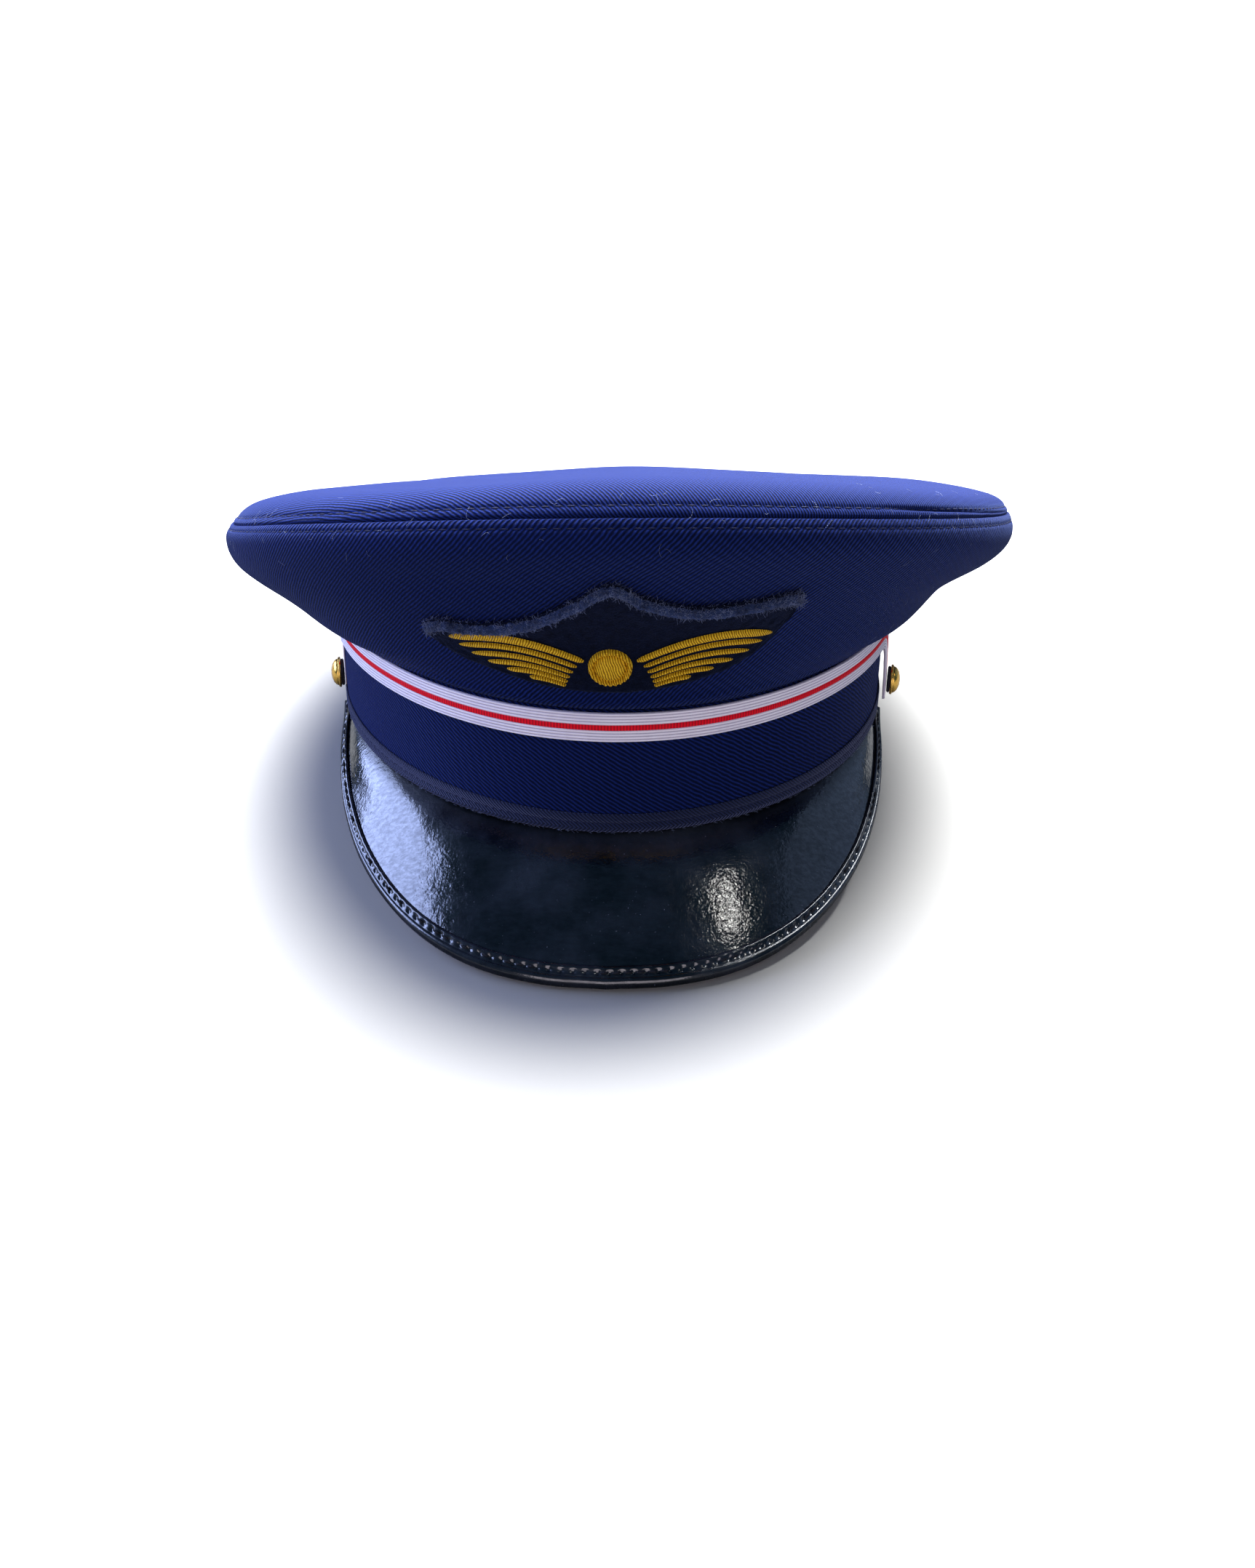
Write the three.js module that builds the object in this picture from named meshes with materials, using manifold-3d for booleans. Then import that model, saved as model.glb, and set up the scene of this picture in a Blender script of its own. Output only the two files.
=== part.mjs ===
// An officer cap: a flared navy crown on a stiff band, a black patent peak with a rolled
// binding, a white chin strap held by two gilt buttons, and a gold embroidered badge on felt.
//
// Millimetres. The cap is drawn in its own frame: the origin is the centre of the band's lower
// edge, +X is the viewer's right, the front faces -Y and +Z runs up along the band. The group
// is then tipped back, so that it rests on the tip of its peak and the back of its band.

import * as THREE from 'three'
import Module from 'manifold-3d'

const wasm = await Module()
wasm.setup()

// Band: an oval of stiffened cloth whose lower edge dips at the front.
const BAND_HALF_WIDTH = 85
const BAND_HALF_DEPTH = 107
const BAND_HEIGHT = 33
const BAND_WALL = 3
const HEM_DIP = 4
const BAND_TOP_DIP = 3

// Thin pieces and the space kept between neighbours.
const CLOTH = 1.6
const GAP = 0.3
const TAPE_WALL = 0.7
const TAPE_WIDTH = 5
const TAPE_VALLEY = 0.4
const FELT = 2.4

// Peak: its root is tucked in under the band, and it bows up fully where it is long enough.
const PEAK_SHEET = 2
const PEAK_TUCK = 1.2
const PEAK_BULGE = 1.9
const FULL_BULGE_LENGTH = 36
const BINDING_WIDTH = 5.7

// Chin strap, buttons and badge.
const STRAP_WIDTH = 7.9
const STRAP_THICKNESS = 1.1
const BUTTON_TURN = 77
const BUTTON_HEIGHT = 7.7
const BUTTON_RADIUS = 4.9
const BUTTON_RISE = 2.3
const WASHER_RADIUS = 3.9
const WASHER_THICKNESS = 0.9
const BOSS_RING = 1.42
const BOSS_RADIUS = 5.5
const BOSS_RISE = 2
const WING_RISE = 1.2
const EDGE_RISE = 0.65

// How the cap lies: tipped back about X, with small flats where it touches the surface.
const TILT = THREE.MathUtils.degToRad(7.9)
const CONTACT_FLAT = 0.5

// Mesh steps round the cap and along the open strips.
const ROUND = 56
const STRIP = 40

// A table is a list of rows, each an object with the named columns.
const table = (columns, rows) =>
  rows.map((row) => Object.fromEntries(columns.map((column, i) => [column, row[i]])))

// The crown from the band's top edge to the middle of the top panel. Each ring has a half
// width to the left and right, a half depth to the front and back, and its four heights.
// Ring 5 is the seam between the side wall and the top panel.
const SEAM = 5
const CROWN = table(
  ['left', 'right', 'front', 'back', 'zFront', 'zRight', 'zBack', 'zLeft'],
  [
    [85, 85, 107, 107, 30.3, 33.3, 33.3, 33.3],
    [94.5, 94.5, 109.5, 110.5, 40, 33.5, 33, 31.5],
    [104, 103.5, 114, 115, 52, 40.5, 33, 35],
    [114.5, 114.5, 122.5, 120, 66, 45, 33.5, 40],
    [116.5, 119, 130.5, 122.5, 77.5, 51, 36.5, 47.5],
    [113, 117.5, 129.5, 120.5, 85, 57, 39.5, 52.5],
    [107, 111, 122, 113.5, 89.5, 61.5, 41, 56],
    [89, 91.5, 103, 96, 86, 64.5, 43.5, 59.5],
    [54.5, 55, 62, 60, 77.5, 65, 51, 62.5],
    [0, 0, 0, 0, 63, 63, 63, 63]
  ]
)

// The top panel stands up a little along the middle, over the spring inside the front.
const HUMP = { rise: 2.1, middle: 8, spread: 34 }

// Depth of the seam groove, and its half width and the half gap at its bottom in rings.
const SEAM_GROOVE = { depth: 1, halfWidth: 0.16, halfGap: 0.025 }

// Peak rim, from the front to the ear: the turn at which each rib leaves the band, and
// where the rib ends.
const PEAK = table(
  ['turn', 'across', 'ahead', 'z'],
  [
    [0, 0, 138, -32.1],
    [9, 16.4, 136.7, -31.7],
    [18, 32.1, 132.2, -30.5],
    [27, 45.7, 123.9, -28.4],
    [36, 57.6, 111.5, -25.3],
    [45, 67.8, 95.2, -21],
    [54, 75, 76.9, -16.3],
    [62, 79, 60.6, -12],
    [69, 81.4, 45.5, -8.1],
    [74, 82.9, 31.5, -4.7],
    [77, 83.8, 25.4, -3]
  ]
)

// Chin strap, from the front to its end: level over the front, then down to the button.
const STRAP = table(
  ['turn', 'height', 'lift'],
  [
    [0, 25.8, 0.3],
    [15, 26, 0.3],
    [30, 26.6, 0.3],
    [45, 27.3, 0.3],
    [58, 27.6, 0.3],
    [66, 27.3, 0.35],
    [70.5, 26, 0.5],
    [73.3, 22.6, 0.7],
    [74.9, 17.5, 0.9],
    [76.1, 12.5, 1.1],
    [77, 7.7, 1.3],
    [77.7, 3, 1.4]
  ]
)

// Badge on the front of the crown. Heights are in rings above the band.
const PATCH = table(
  ['turn', 'lower', 'upper'],
  [
    [-25, 2.1, 2.34],
    [-22, 1.56, 2.44],
    [-17, 1.18, 2.36],
    [-10, 0.82, 2.5],
    [-4, 0.68, 2.9],
    [0, 0.66, 3.26],
    [4, 0.68, 2.94],
    [10, 0.84, 2.72],
    [17, 1.2, 2.8],
    [21.5, 1.76, 2.96],
    [23.4, 2.5, 2.96]
  ]
)
const WING = table(
  ['turn', 'lower', 'upper'],
  [
    [4.5, 1.16, 1.66],
    [8, 0.96, 1.94],
    [12.5, 1.02, 2.12],
    [17, 1.34, 2.2],
    [21.2, 1.86, 2.2]
  ]
)
const FEATHERS = 5
const FEATHER_NOTCH = 0.16

// Values of a table at a row number with a fraction, on a smooth curve through the rows.
function between(rows, at) {
  const last = rows.length - 1
  const i = Math.min(Math.max(Math.floor(at), 0), last - 1)
  const t = at - i
  const mix = {}
  for (const column of Object.keys(rows[0])) {
    const [b, c] = [rows[i][column], rows[i + 1][column]]
    const a = i > 0 ? rows[i - 1][column] : 2 * b - c
    const d = i + 1 < last ? rows[i + 2][column] : 2 * c - b
    const bend = (2 * a - 5 * b + 4 * c - d) * t * t + (3 * b - a - 3 * c + d) * t * t * t
    mix[column] = b + ((c - a) * t + bend) / 2
  }
  return mix
}

// A left half added to a table that runs from the middle to the right.
const mirrored = (rows, flipped) => [
  ...rows.slice(1).reverse().map((row) => {
    const copy = { ...row }
    for (const column of flipped) copy[column] = -row[column]
    return copy
  }),
  ...rows
]

const steps = (count, from, to) =>
  Array.from({ length: count + 1 }, (_, i) => from + ((to - from) * i) / count)

// Turns once round the cap, from the back through the left.
const TURNS = steps(ROUND, -Math.PI, Math.PI).slice(0, -1)

// Closed skin over rings with equal numbers of points. The rings either join up into a loop
// or end in a point, or in a flat cap cut from the outline given in its own plane.
function skin(rings, { loop = false, outline = null } = {}) {
  const points = rings.flat()
  const starts = rings.reduce((all, ring) => [...all, all.at(-1) + ring.length], [0])
  const faces = []
  const join = (a, b) => {
    const [m, n] = [rings[a].length, rings[b].length]
    for (let i = 0; i < Math.max(m, n); i++) {
      const j = i + 1
      const [p, q] = [starts[a] + (i % m), starts[a] + (j % m)]
      const [r, s] = [starts[b] + (i % n), starts[b] + (j % n)]
      if (m > 1) faces.push([p, q, s])
      if (n > 1) faces.push([p, s, r])
    }
  }
  for (let k = 0; k + 1 < rings.length; k++) join(k, k + 1)
  if (loop) join(rings.length - 1, 0)
  if (outline) {
    const end = starts.at(-2)
    for (const [a, b, c] of THREE.ShapeUtils.triangulateShape(outline, [])) {
      const flat = THREE.ShapeUtils.isClockWise(outline) ? [a, c, b] : [a, b, c]
      faces.push([flat[2], flat[1], flat[0]], flat.map((index) => end + index))
    }
  }
  return facingOut(points, faces)
}

// Geometry from points and faces, with the faces turned so that the solid has a positive volume.
function facingOut(points, faces) {
  const corner = new THREE.Vector3()
  const volume = faces.reduce(
    (sum, [a, b, c]) => sum + points[a].dot(corner.crossVectors(points[b], points[c])),
    0
  )
  const index = faces.flatMap(([a, b, c]) => (volume > 0 ? [a, b, c] : [a, c, b]))
  const geometry = new THREE.BufferGeometry().setFromPoints(points)
  geometry.setIndex(index)
  geometry.computeVertexNormals()
  return geometry
}

// A point on the crown's outer surface, by ring and turn from the front, positive to the right.
function crownSurface(ring, turn) {
  const at = between(CROWN, ring)
  const across = Math.sin(turn)
  const ahead = Math.cos(turn)
  const x = (across > 0 ? at.right : at.left) * across
  const y = -(ahead > 0 ? at.front : at.back) * ahead
  const side = (at.zRight + at.zLeft) / 2
  const slope = ((at.zFront - at.zBack) / 2) * ahead
  const bow = ((at.zFront + at.zBack) / 2 - side) * ahead * ahead
  const lean = ((at.zRight - at.zLeft) / 2) * across
  const onTop = THREE.MathUtils.clamp((ring - SEAM) / 2, 0, 1)
  const hump = HUMP.rise * onTop * Math.exp(-(((x - HUMP.middle) / HUMP.spread) ** 2))
  return new THREE.Vector3(x, y, side + slope + bow + lean + hump)
}

// The direction straight out of the crown at a point of it.
function crownNormal(ring, turn) {
  const step = 0.01
  const up = crownSurface(ring + step, turn).sub(crownSurface(ring - step, turn))
  const round = crownSurface(ring, turn + step).sub(crownSurface(ring, turn - step))
  return round.cross(up).normalize()
}

// A point out from the crown, sunk where the seam groove runs.
function crownPoint(ring, turn, out) {
  const groove = SEAM_GROOVE.depth * Math.exp(-(((ring - SEAM) / SEAM_GROOVE.halfWidth) ** 2))
  return crownSurface(ring, turn).addScaledVector(crownNormal(ring, turn), out - groove)
}

// The crown's side wall: each ring of points is one slice through the cloth.
function crownSide() {
  const seam = SEAM - SEAM_GROOVE.halfGap
  const outer = [0.01, 0.5, 1, 1.5, 2, 2.5, 3, 3.5, 4, 4.4, 4.75, seam]
  const inner = [0.01, 0.5, 1.5, 2.5, 3.5, 4.4, seam]
  const slice = (turn) => [
    ...outer.map((ring) => crownPoint(ring, turn, 0)),
    ...inner.toReversed().map((ring) => crownPoint(ring, turn, -CLOTH))
  ]
  return skin(TURNS.map(slice), { loop: true })
}

// The crown's top panel: a shallow dome with a rolled rim, closed at its middle above and below.
function crownTop() {
  const seam = SEAM + SEAM_GROOVE.halfGap
  const outer = [seam, 5.25, 5.6, 6, 6.4, 6.8, 7.4, 8, 8.6]
  const inner = [seam, 5.5, 6, 6.5, 7.2, 8, 8.6]
  const ringAt = (ring, out) => TURNS.map((turn) => crownPoint(ring, turn, out))
  const middle = crownSurface(CROWN.length - 1, 0)
  const under = middle.clone().setZ(middle.z - CLOTH)
  return skin([
    [middle],
    ...outer.map((ring) => ringAt(ring, 0)).reverse(),
    ...inner.map((ring) => ringAt(ring, -CLOTH)),
    [under]
  ])
}

// A point on the band, by turn, height above the lower edge at the sides, and distance out.
function bandPoint(turn, height, out) {
  const across = Math.sin(turn)
  const ahead = Math.cos(turn)
  const dips = ahead > 0 ? ahead * ahead : 0
  const lower = -HEM_DIP * dips
  const upper = BAND_HEIGHT - BAND_TOP_DIP * dips
  const point = new THREE.Vector3(BAND_HALF_WIDTH * across, -BAND_HALF_DEPTH * ahead, 0)
  point.addScaledVector(bandNormal(turn), out)
  return point.setZ(lower + ((upper - lower) * height) / BAND_HEIGHT)
}

function bandNormal(turn) {
  return new THREE.Vector3(
    Math.sin(turn) / BAND_HALF_WIDTH,
    -Math.cos(turn) / BAND_HALF_DEPTH,
    0
  ).normalize()
}

// A loop on the band from a section of [out, height] corners.
const bandLoop = (section) =>
  skin(
    TURNS.map((turn) => section.map(([out, height]) => bandPoint(turn, height, out))),
    { loop: true }
  )

function band() {
  const round = 0.6
  const foot = TAPE_WALL + GAP
  return bandLoop([
    [0, foot + round],
    [0, BAND_HEIGHT - round],
    [-round, BAND_HEIGHT],
    [round - BAND_WALL, BAND_HEIGHT],
    [-BAND_WALL, BAND_HEIGHT - round],
    [-BAND_WALL, foot + round],
    [round - BAND_WALL, foot],
    [-round, foot]
  ])
}

// Tape folded round the band's lower edge, with two stitched ridges on the outside.
function bandHem() {
  const face = GAP / 2 + TAPE_WALL
  const valley = face - TAPE_VALLEY
  const inside = -BAND_WALL - GAP
  return bandLoop([
    [GAP / 2, TAPE_WALL],
    [GAP / 2, TAPE_WIDTH],
    [valley, TAPE_WIDTH + 0.1],
    [face, TAPE_WIDTH - 0.7],
    [face, TAPE_WIDTH - 1.9],
    [valley, TAPE_WIDTH / 2],
    [face, 1.9],
    [face, 0.6],
    [valley, 0],
    [inside, 0],
    [inside - TAPE_WALL, 0.6],
    [inside - TAPE_WALL, TAPE_WIDTH],
    [inside, TAPE_WIDTH],
    [inside, TAPE_WALL]
  ])
}

// One rib of the peak, from under the band's edge to the rim: its points, and the directions
// out along the rib and up off the sheet at the rim.
const PEAK_ROWS = mirrored(PEAK, ['turn', 'across'])

function peakRib(row) {
  const at = between(PEAK_ROWS, row)
  const root = bandPoint(THREE.MathUtils.degToRad(at.turn), 0, -PEAK_TUCK)
  root.z -= GAP
  return { root, rim: new THREE.Vector3(at.across, -at.ahead, at.z) }
}

function peakFrame(row) {
  const step = 0.05
  const { root, rim } = peakRib(row)
  const [before, after] = [peakRib(row - step), peakRib(row + step)]
  const side = after.rim.clone().sub(before.rim)
  const chord = rim.clone().sub(root)
  const up = side.cross(chord).normalize()
  if (up.z < 0) up.negate()
  const length = chord.length()
  const bulge = PEAK_BULGE * Math.min(1, (length / FULL_BULGE_LENGTH) ** 2)
  const out = chord.divideScalar(length)
  // The sheet bows up between root and rim, so that it leaves the rim a little steeper.
  const dip = (Math.PI * bulge) / length
  const rimOut = out.clone().addScaledVector(up, -dip).normalize()
  const rimUp = up.clone().addScaledVector(out, dip).normalize()
  return { root, rim, out, up, length, bulge, rimOut, rimUp }
}

const PEAK_STATIONS = steps(STRIP, 0, PEAK_ROWS.length - 1)

function peak() {
  const along = [0, 0.2, 0.4, 0.6, 0.8, 1]
  const edge = 1.5
  const slice = (row) => {
    const { root, out, up, length, bulge } = peakFrame(row)
    const reach = length - Math.min(edge, length / 3)
    const point = (part, depth) =>
      root.clone()
        .addScaledVector(out, reach * part)
        .addScaledVector(up, bulge * Math.sin((Math.PI * reach * part) / length) - depth)
    return [
      ...along.map((part) => point(part, 0)),
      ...along.toReversed().map((part) => point(part, PEAK_SHEET))
    ]
  }
  const outline = [
    ...along.map((part) => new THREE.Vector2(part, 0)),
    ...along.toReversed().map((part) => new THREE.Vector2(part, -1))
  ]
  return skin(PEAK_STATIONS.map(slice), { outline })
}

// Binding rolled round the rim: a section of [in from the rim, up from the sheet] corners.
function peakBinding() {
  const wrap = GAP
  const bead = 1.6
  const under = -PEAK_SHEET
  const section = [
    [BINDING_WIDTH, wrap],
    [BINDING_WIDTH - 0.2, wrap + 0.7],
    [2.8, wrap + 0.7],
    [bead, wrap + 1.1],
    [0.5, 0.5],
    [0, -1],
    [0.5, under - 0.9],
    [bead, under - wrap - 0.9],
    [BINDING_WIDTH - 0.2, under - wrap - 0.8],
    [BINDING_WIDTH, under - wrap],
    [1.2, under - wrap],
    [1.2, wrap]
  ]
  const slice = (row) => {
    const { rim, length, rimOut, rimUp } = peakFrame(row)
    const narrow = Math.min(1, (length * 0.75) / BINDING_WIDTH)
    return section.map(([inward, up]) =>
      rim.clone().addScaledVector(rimOut, -inward * narrow).addScaledVector(rimUp, up)
    )
  }
  const outline = section.map(([inward, up]) => new THREE.Vector2(-inward, up))
  return skin(PEAK_STATIONS.map(slice), { outline })
}

// Chin strap: a flat braid that lies on the band and turns down to the buttons.
const STRAP_ROWS = mirrored(STRAP, ['turn'])

function strapPath(row) {
  const at = between(STRAP_ROWS, row)
  const turn = THREE.MathUtils.degToRad(at.turn)
  const point = bandPoint(turn, 0, at.lift)
  return { turn, point: point.setZ(at.height) }
}

function strap() {
  const step = 0.02
  const end = STRAP_ROWS.length - 1
  const half = STRAP_WIDTH / 2
  const section = [
    [-half, 0],
    [-half, STRAP_THICKNESS],
    [0, STRAP_THICKNESS],
    [half, STRAP_THICKNESS],
    [half, 0]
  ]
  const slice = (row) => {
    const { turn, point } = strapPath(row)
    const ahead = strapPath(row + step).point.sub(strapPath(row - step).point).normalize()
    const out = bandNormal(turn)
    const up = new THREE.Vector3().crossVectors(out, ahead).normalize()
    return section.map(([w, t]) => point.clone().addScaledVector(up, w).addScaledVector(out, t))
  }
  const outline = section.map(([w, t]) => new THREE.Vector2(w, t))
  return skin(steps(2 * end, 0, end).map(slice), { outline })
}

// A round piece turned about an axis that stands on a surface, from [radius, rise] corners.
function turned(profile, base, direction, segments = 20) {
  const lathe = new THREE.LatheGeometry(
    profile.map(([radius, rise]) => new THREE.Vector2(radius, rise)),
    segments
  )
  const stand = new THREE.Quaternion().setFromUnitVectors(new THREE.Vector3(0, 1, 0), direction)
  lathe.applyQuaternion(stand)
  lathe.translate(base.x, base.y, base.z)
  return lathe
}

// Distance of the strap's face from the band where the buttons hold it.
const BUTTON_SEAT = STRAP.find((row) => row.turn === BUTTON_TURN).lift + STRAP_THICKNESS

function buttonBase(side, out) {
  const turn = THREE.MathUtils.degToRad(BUTTON_TURN * side)
  const base = bandPoint(turn, 0, out)
  return { base: base.setZ(BUTTON_HEIGHT), direction: bandNormal(turn) }
}

function buttonWasher(side) {
  const { base, direction } = buttonBase(side, BUTTON_SEAT + GAP)
  const rim = 0.2
  return turned(
    [
      [0, 0],
      [WASHER_RADIUS - rim, 0],
      [WASHER_RADIUS, rim],
      [WASHER_RADIUS, WASHER_THICKNESS - rim],
      [WASHER_RADIUS - rim, WASHER_THICKNESS],
      [0, WASHER_THICKNESS]
    ],
    base,
    direction
  )
}

function button(side) {
  const { base, direction } = buttonBase(side, BUTTON_SEAT + WASHER_THICKNESS + 2 * GAP)
  const lip = 0.5
  const dome = steps(5, 0, Math.PI / 2).map((angle) => [
    BUTTON_RADIUS * Math.cos(angle),
    lip + (BUTTON_RISE - lip) * Math.sin(angle)
  ])
  dome[dome.length - 1][0] = 0
  return turned([[0, 0], [BUTTON_RADIUS - lip / 2, 0], ...dome], base, direction)
}

// A flat piece laid on the crown, from a table of its lower and upper edges by turn.
function appliedPiece(rows, count, seat, thickness, edges = (at) => at) {
  const levels = 4
  const slice = (row) => {
    const at = edges(between(rows, row), row)
    const turn = THREE.MathUtils.degToRad(at.turn)
    const rings = steps(levels, at.lower, at.upper)
    const round = (i) => (i === 0 || i === levels ? EDGE_RISE : 1)
    return [
      ...rings.map((ring, i) => crownPoint(ring, turn, seat + thickness * round(i))),
      ...rings.toReversed().map((ring) => crownPoint(ring, turn, seat))
    ]
  }
  const outline = [
    ...steps(levels, 0, 1).map((t) => new THREE.Vector2(t, 1)),
    ...steps(levels, 1, 0).map((t) => new THREE.Vector2(t, 0))
  ]
  return skin(steps(count, 0, rows.length - 1).map(slice), { outline })
}

const badgePatch = () => appliedPiece(PATCH, 32, GAP, FELT)

function badgeWing(side) {
  const rows = WING.map((row) => ({ ...row, turn: row.turn * side }))
  const end = rows.length - 1
  const feathered = (at, row) => {
    const notch = FEATHER_NOTCH * Math.abs(Math.cos((Math.PI * FEATHERS * row) / end))
    return { ...at, lower: at.lower + notch }
  }
  return appliedPiece(rows, FEATHERS * 6, 2 * GAP + FELT, WING_RISE, feathered)
}

function badgeBoss() {
  const lip = 0.4
  const base = crownPoint(BOSS_RING, 0, 2 * GAP + FELT)
  const dome = steps(4, 0, Math.PI / 2).map((angle) => [
    BOSS_RADIUS * Math.cos(angle),
    lip + (BOSS_RISE - lip) * Math.sin(angle)
  ])
  dome[dome.length - 1][0] = 0
  return turned([[0, 0], [BOSS_RADIUS, 0], ...dome], base, crownNormal(BOSS_RING, 0), 24)
}

// The solid left of a piece when everything below the surface that the cap rests on is cut off.
function cutAt(floor, geometry) {
  const solid = new wasm.Manifold(
    new wasm.Mesh({
      numProp: 3,
      vertProperties: new Float32Array(geometry.getAttribute('position').array),
      triVerts: new Uint32Array(geometry.index.array)
    })
  )
  const left = solid.subtract(floor).getMesh()
  const cut = new THREE.BufferGeometry()
  cut.setAttribute('position', new THREE.BufferAttribute(left.vertProperties, left.numProp))
  cut.setIndex(new THREE.BufferAttribute(left.triVerts, 1))
  cut.computeVertexNormals()
  return cut
}

// Finishes, one for each kind of surface.
const finish = (name, color, roughness, metalness = 0) =>
  new THREE.MeshStandardMaterial({ name, color, roughness, metalness })

const navyTwill = () => finish('navy_twill', 0x141a48, 0.9)
const hemTape = () => finish('hem_tape', 0x1a1b3a, 0.85)
const strapBraid = () => finish('strap_braid', 0xd6d0e2, 0.7)
const patentBlack = () => finish('patent_black', 0x0a0b10, 0.12)
const giltBrass = () => finish('gilt_brass', 0xc8922a, 0.28, 1)
const washerFelt = () => finish('button_washer', 0x0c0c14, 0.9)
const badgeFelt = () => finish('badge_felt', 0x12183a, 0.95)
const goldThread = () => finish('gold_thread', 0xc29a3a, 0.45, 0.3)

function piece(name, geometry, material) {
  const mesh = new THREE.Mesh(geometry, material)
  mesh.name = name
  return mesh
}

// The cap's own frame inside the finished part: tipped back and centred, with its lowest
// points on the surface.
function restingFrame(lowest) {
  const frame = new THREE.Group()
  frame.name = 'tipped_back'
  frame.rotation.x = -TILT
  frame.updateMatrixWorld()
  const box = new THREE.Box3()
  for (const geometry of lowest) box.union(new THREE.Box3().setFromBufferAttribute(
    geometry.clone().applyMatrix4(frame.matrixWorld).getAttribute('position')
  ))
  frame.position.set(
    -(box.min.x + box.max.x) / 2,
    -(box.min.y + box.max.y) / 2,
    -CONTACT_FLAT - box.min.z
  )
  frame.updateMatrixWorld()
  return frame
}

const shapes = {
  crown_side: crownSide(),
  crown_top: crownTop(),
  band: band(),
  band_hem: bandHem(),
  peak: peak(),
  peak_binding: peakBinding()
}
const tipped = restingFrame(Object.values(shapes))

// A block under the surface, seen from the cap's own frame.
const FLOOR_SIZE = 600
const toCap = tipped.matrixWorld.clone().invert()
const floor = wasm.Manifold.cube([FLOOR_SIZE, FLOOR_SIZE, FLOOR_SIZE], true)
  .translate([0, 0, -FLOOR_SIZE / 2])
  .transform(toCap.elements)

tipped.add(
  piece('crown_side', shapes.crown_side, navyTwill()),
  piece('crown_top', shapes.crown_top, navyTwill()),
  piece('band', shapes.band, navyTwill()),
  piece('band_hem', cutAt(floor, shapes.band_hem), hemTape()),
  piece('strap', strap(), strapBraid()),
  piece('button_left', button(-1), giltBrass()),
  piece('button_right', button(1), giltBrass()),
  piece('button_washer_left', buttonWasher(-1), washerFelt()),
  piece('button_washer_right', buttonWasher(1), washerFelt()),
  piece('peak', shapes.peak, patentBlack()),
  piece('peak_binding', cutAt(floor, shapes.peak_binding), patentBlack()),
  piece('badge_patch', badgePatch(), badgeFelt()),
  piece('badge_wing_left', badgeWing(-1), goldThread()),
  piece('badge_wing_right', badgeWing(1), goldThread()),
  piece('badge_boss', badgeBoss(), goldThread())
)

const cap = new THREE.Group()
cap.name = 'officer_cap'
cap.add(tipped)

export default cap
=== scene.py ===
import math
import random
from collections import namedtuple
from functools import lru_cache

import bmesh
import bpy
from mathutils import Matrix, Vector, noise


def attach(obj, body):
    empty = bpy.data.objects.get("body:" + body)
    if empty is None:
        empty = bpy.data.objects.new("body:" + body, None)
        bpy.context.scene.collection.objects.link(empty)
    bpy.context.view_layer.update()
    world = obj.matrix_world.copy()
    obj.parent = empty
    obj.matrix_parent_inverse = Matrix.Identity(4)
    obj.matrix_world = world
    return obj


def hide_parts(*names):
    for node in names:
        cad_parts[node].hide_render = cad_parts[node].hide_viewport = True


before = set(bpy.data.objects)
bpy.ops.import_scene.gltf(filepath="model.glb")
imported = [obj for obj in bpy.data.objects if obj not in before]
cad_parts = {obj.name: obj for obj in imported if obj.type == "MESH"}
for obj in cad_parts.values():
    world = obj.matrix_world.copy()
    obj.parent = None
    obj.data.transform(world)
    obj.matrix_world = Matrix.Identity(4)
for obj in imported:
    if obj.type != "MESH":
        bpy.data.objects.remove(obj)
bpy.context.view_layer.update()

MM = 0.001
PI = math.pi

# Studio: the camera stands in front of the cap and a little above it, as in the photograph,
# over a pale floor that throws little light back. Strong soft daylight falls from behind,
# with a wide window on the left, a dim one on the right, a lamp and a faint fill in front.
EYE = Vector((0.0017, -0.3872, 0.2308))
LOOK_DOWN = math.radians(33.53)
LOOK_RIGHT = math.radians(0.32)
ROLL = math.radians(0.89)
LENS = 31.18
FLOOR_SIZE = 24
FLOOR_SEEN = (0.40, 0.385, 0.36, 1)
FLOOR_GIVES = (0.10, 0.10, 0.10, 1)
AIR_SEEN = (0.86, 0.88, 0.92, 1)
AIR_GIVES = (0.16, 0.33, 0.58, 1)
AIR_STRENGTH = 0.2
SUN_STRENGTH = 26
SUN_SPREAD = math.radians(50)
SUN_TURN = (math.radians(-38), math.radians(5), 0)
SOFT_LIGHTS = [
    ("window", (-0.95, 0.2, 0.47), (-0.05, 0.05, 0.1), 1.0, 0.62, 16, (0.45, 0.56, 1)),
    ("far_window", (1.0, 0.3, 0.5), (0.05, 0.05, 0.05), 1.1, 0.8, 0.8, (0.5, 0.64, 1)),
    ("lamp_right", (0.46, -0.30, 0.74), (0.03, -0.12, 0), 0.09, 0.06, 0.28, (1, 0.98, 0.94)),
    ("front_fill", (0, -1.6, 0.5), (0, 0, 0.05), 1.4, 0.9, 8.5, (1, 0.91, 1)),
]


def in_scene(name, data):
    thing = bpy.data.objects.new(name, data)
    bpy.context.scene.collection.objects.link(thing)
    return thing


def mesh_of(bm, name):
    mesh = bpy.data.meshes.new(name)
    bm.to_mesh(mesh)
    bm.free()
    return mesh


def shown_to_camera(tree, seen, gives, output):
    """Lets the camera see one shader, while another gives its light to the cap."""
    choice = tree.nodes.new("ShaderNodeMixShader")
    ray = tree.nodes.new("ShaderNodeLightPath").outputs["Is Camera Ray"]
    for value, socket in zip((ray, gives.outputs[0], seen.outputs[0]), choice.inputs):
        tree.links.new(value, socket)
    tree.links.new(choice.outputs[0], output)


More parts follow.
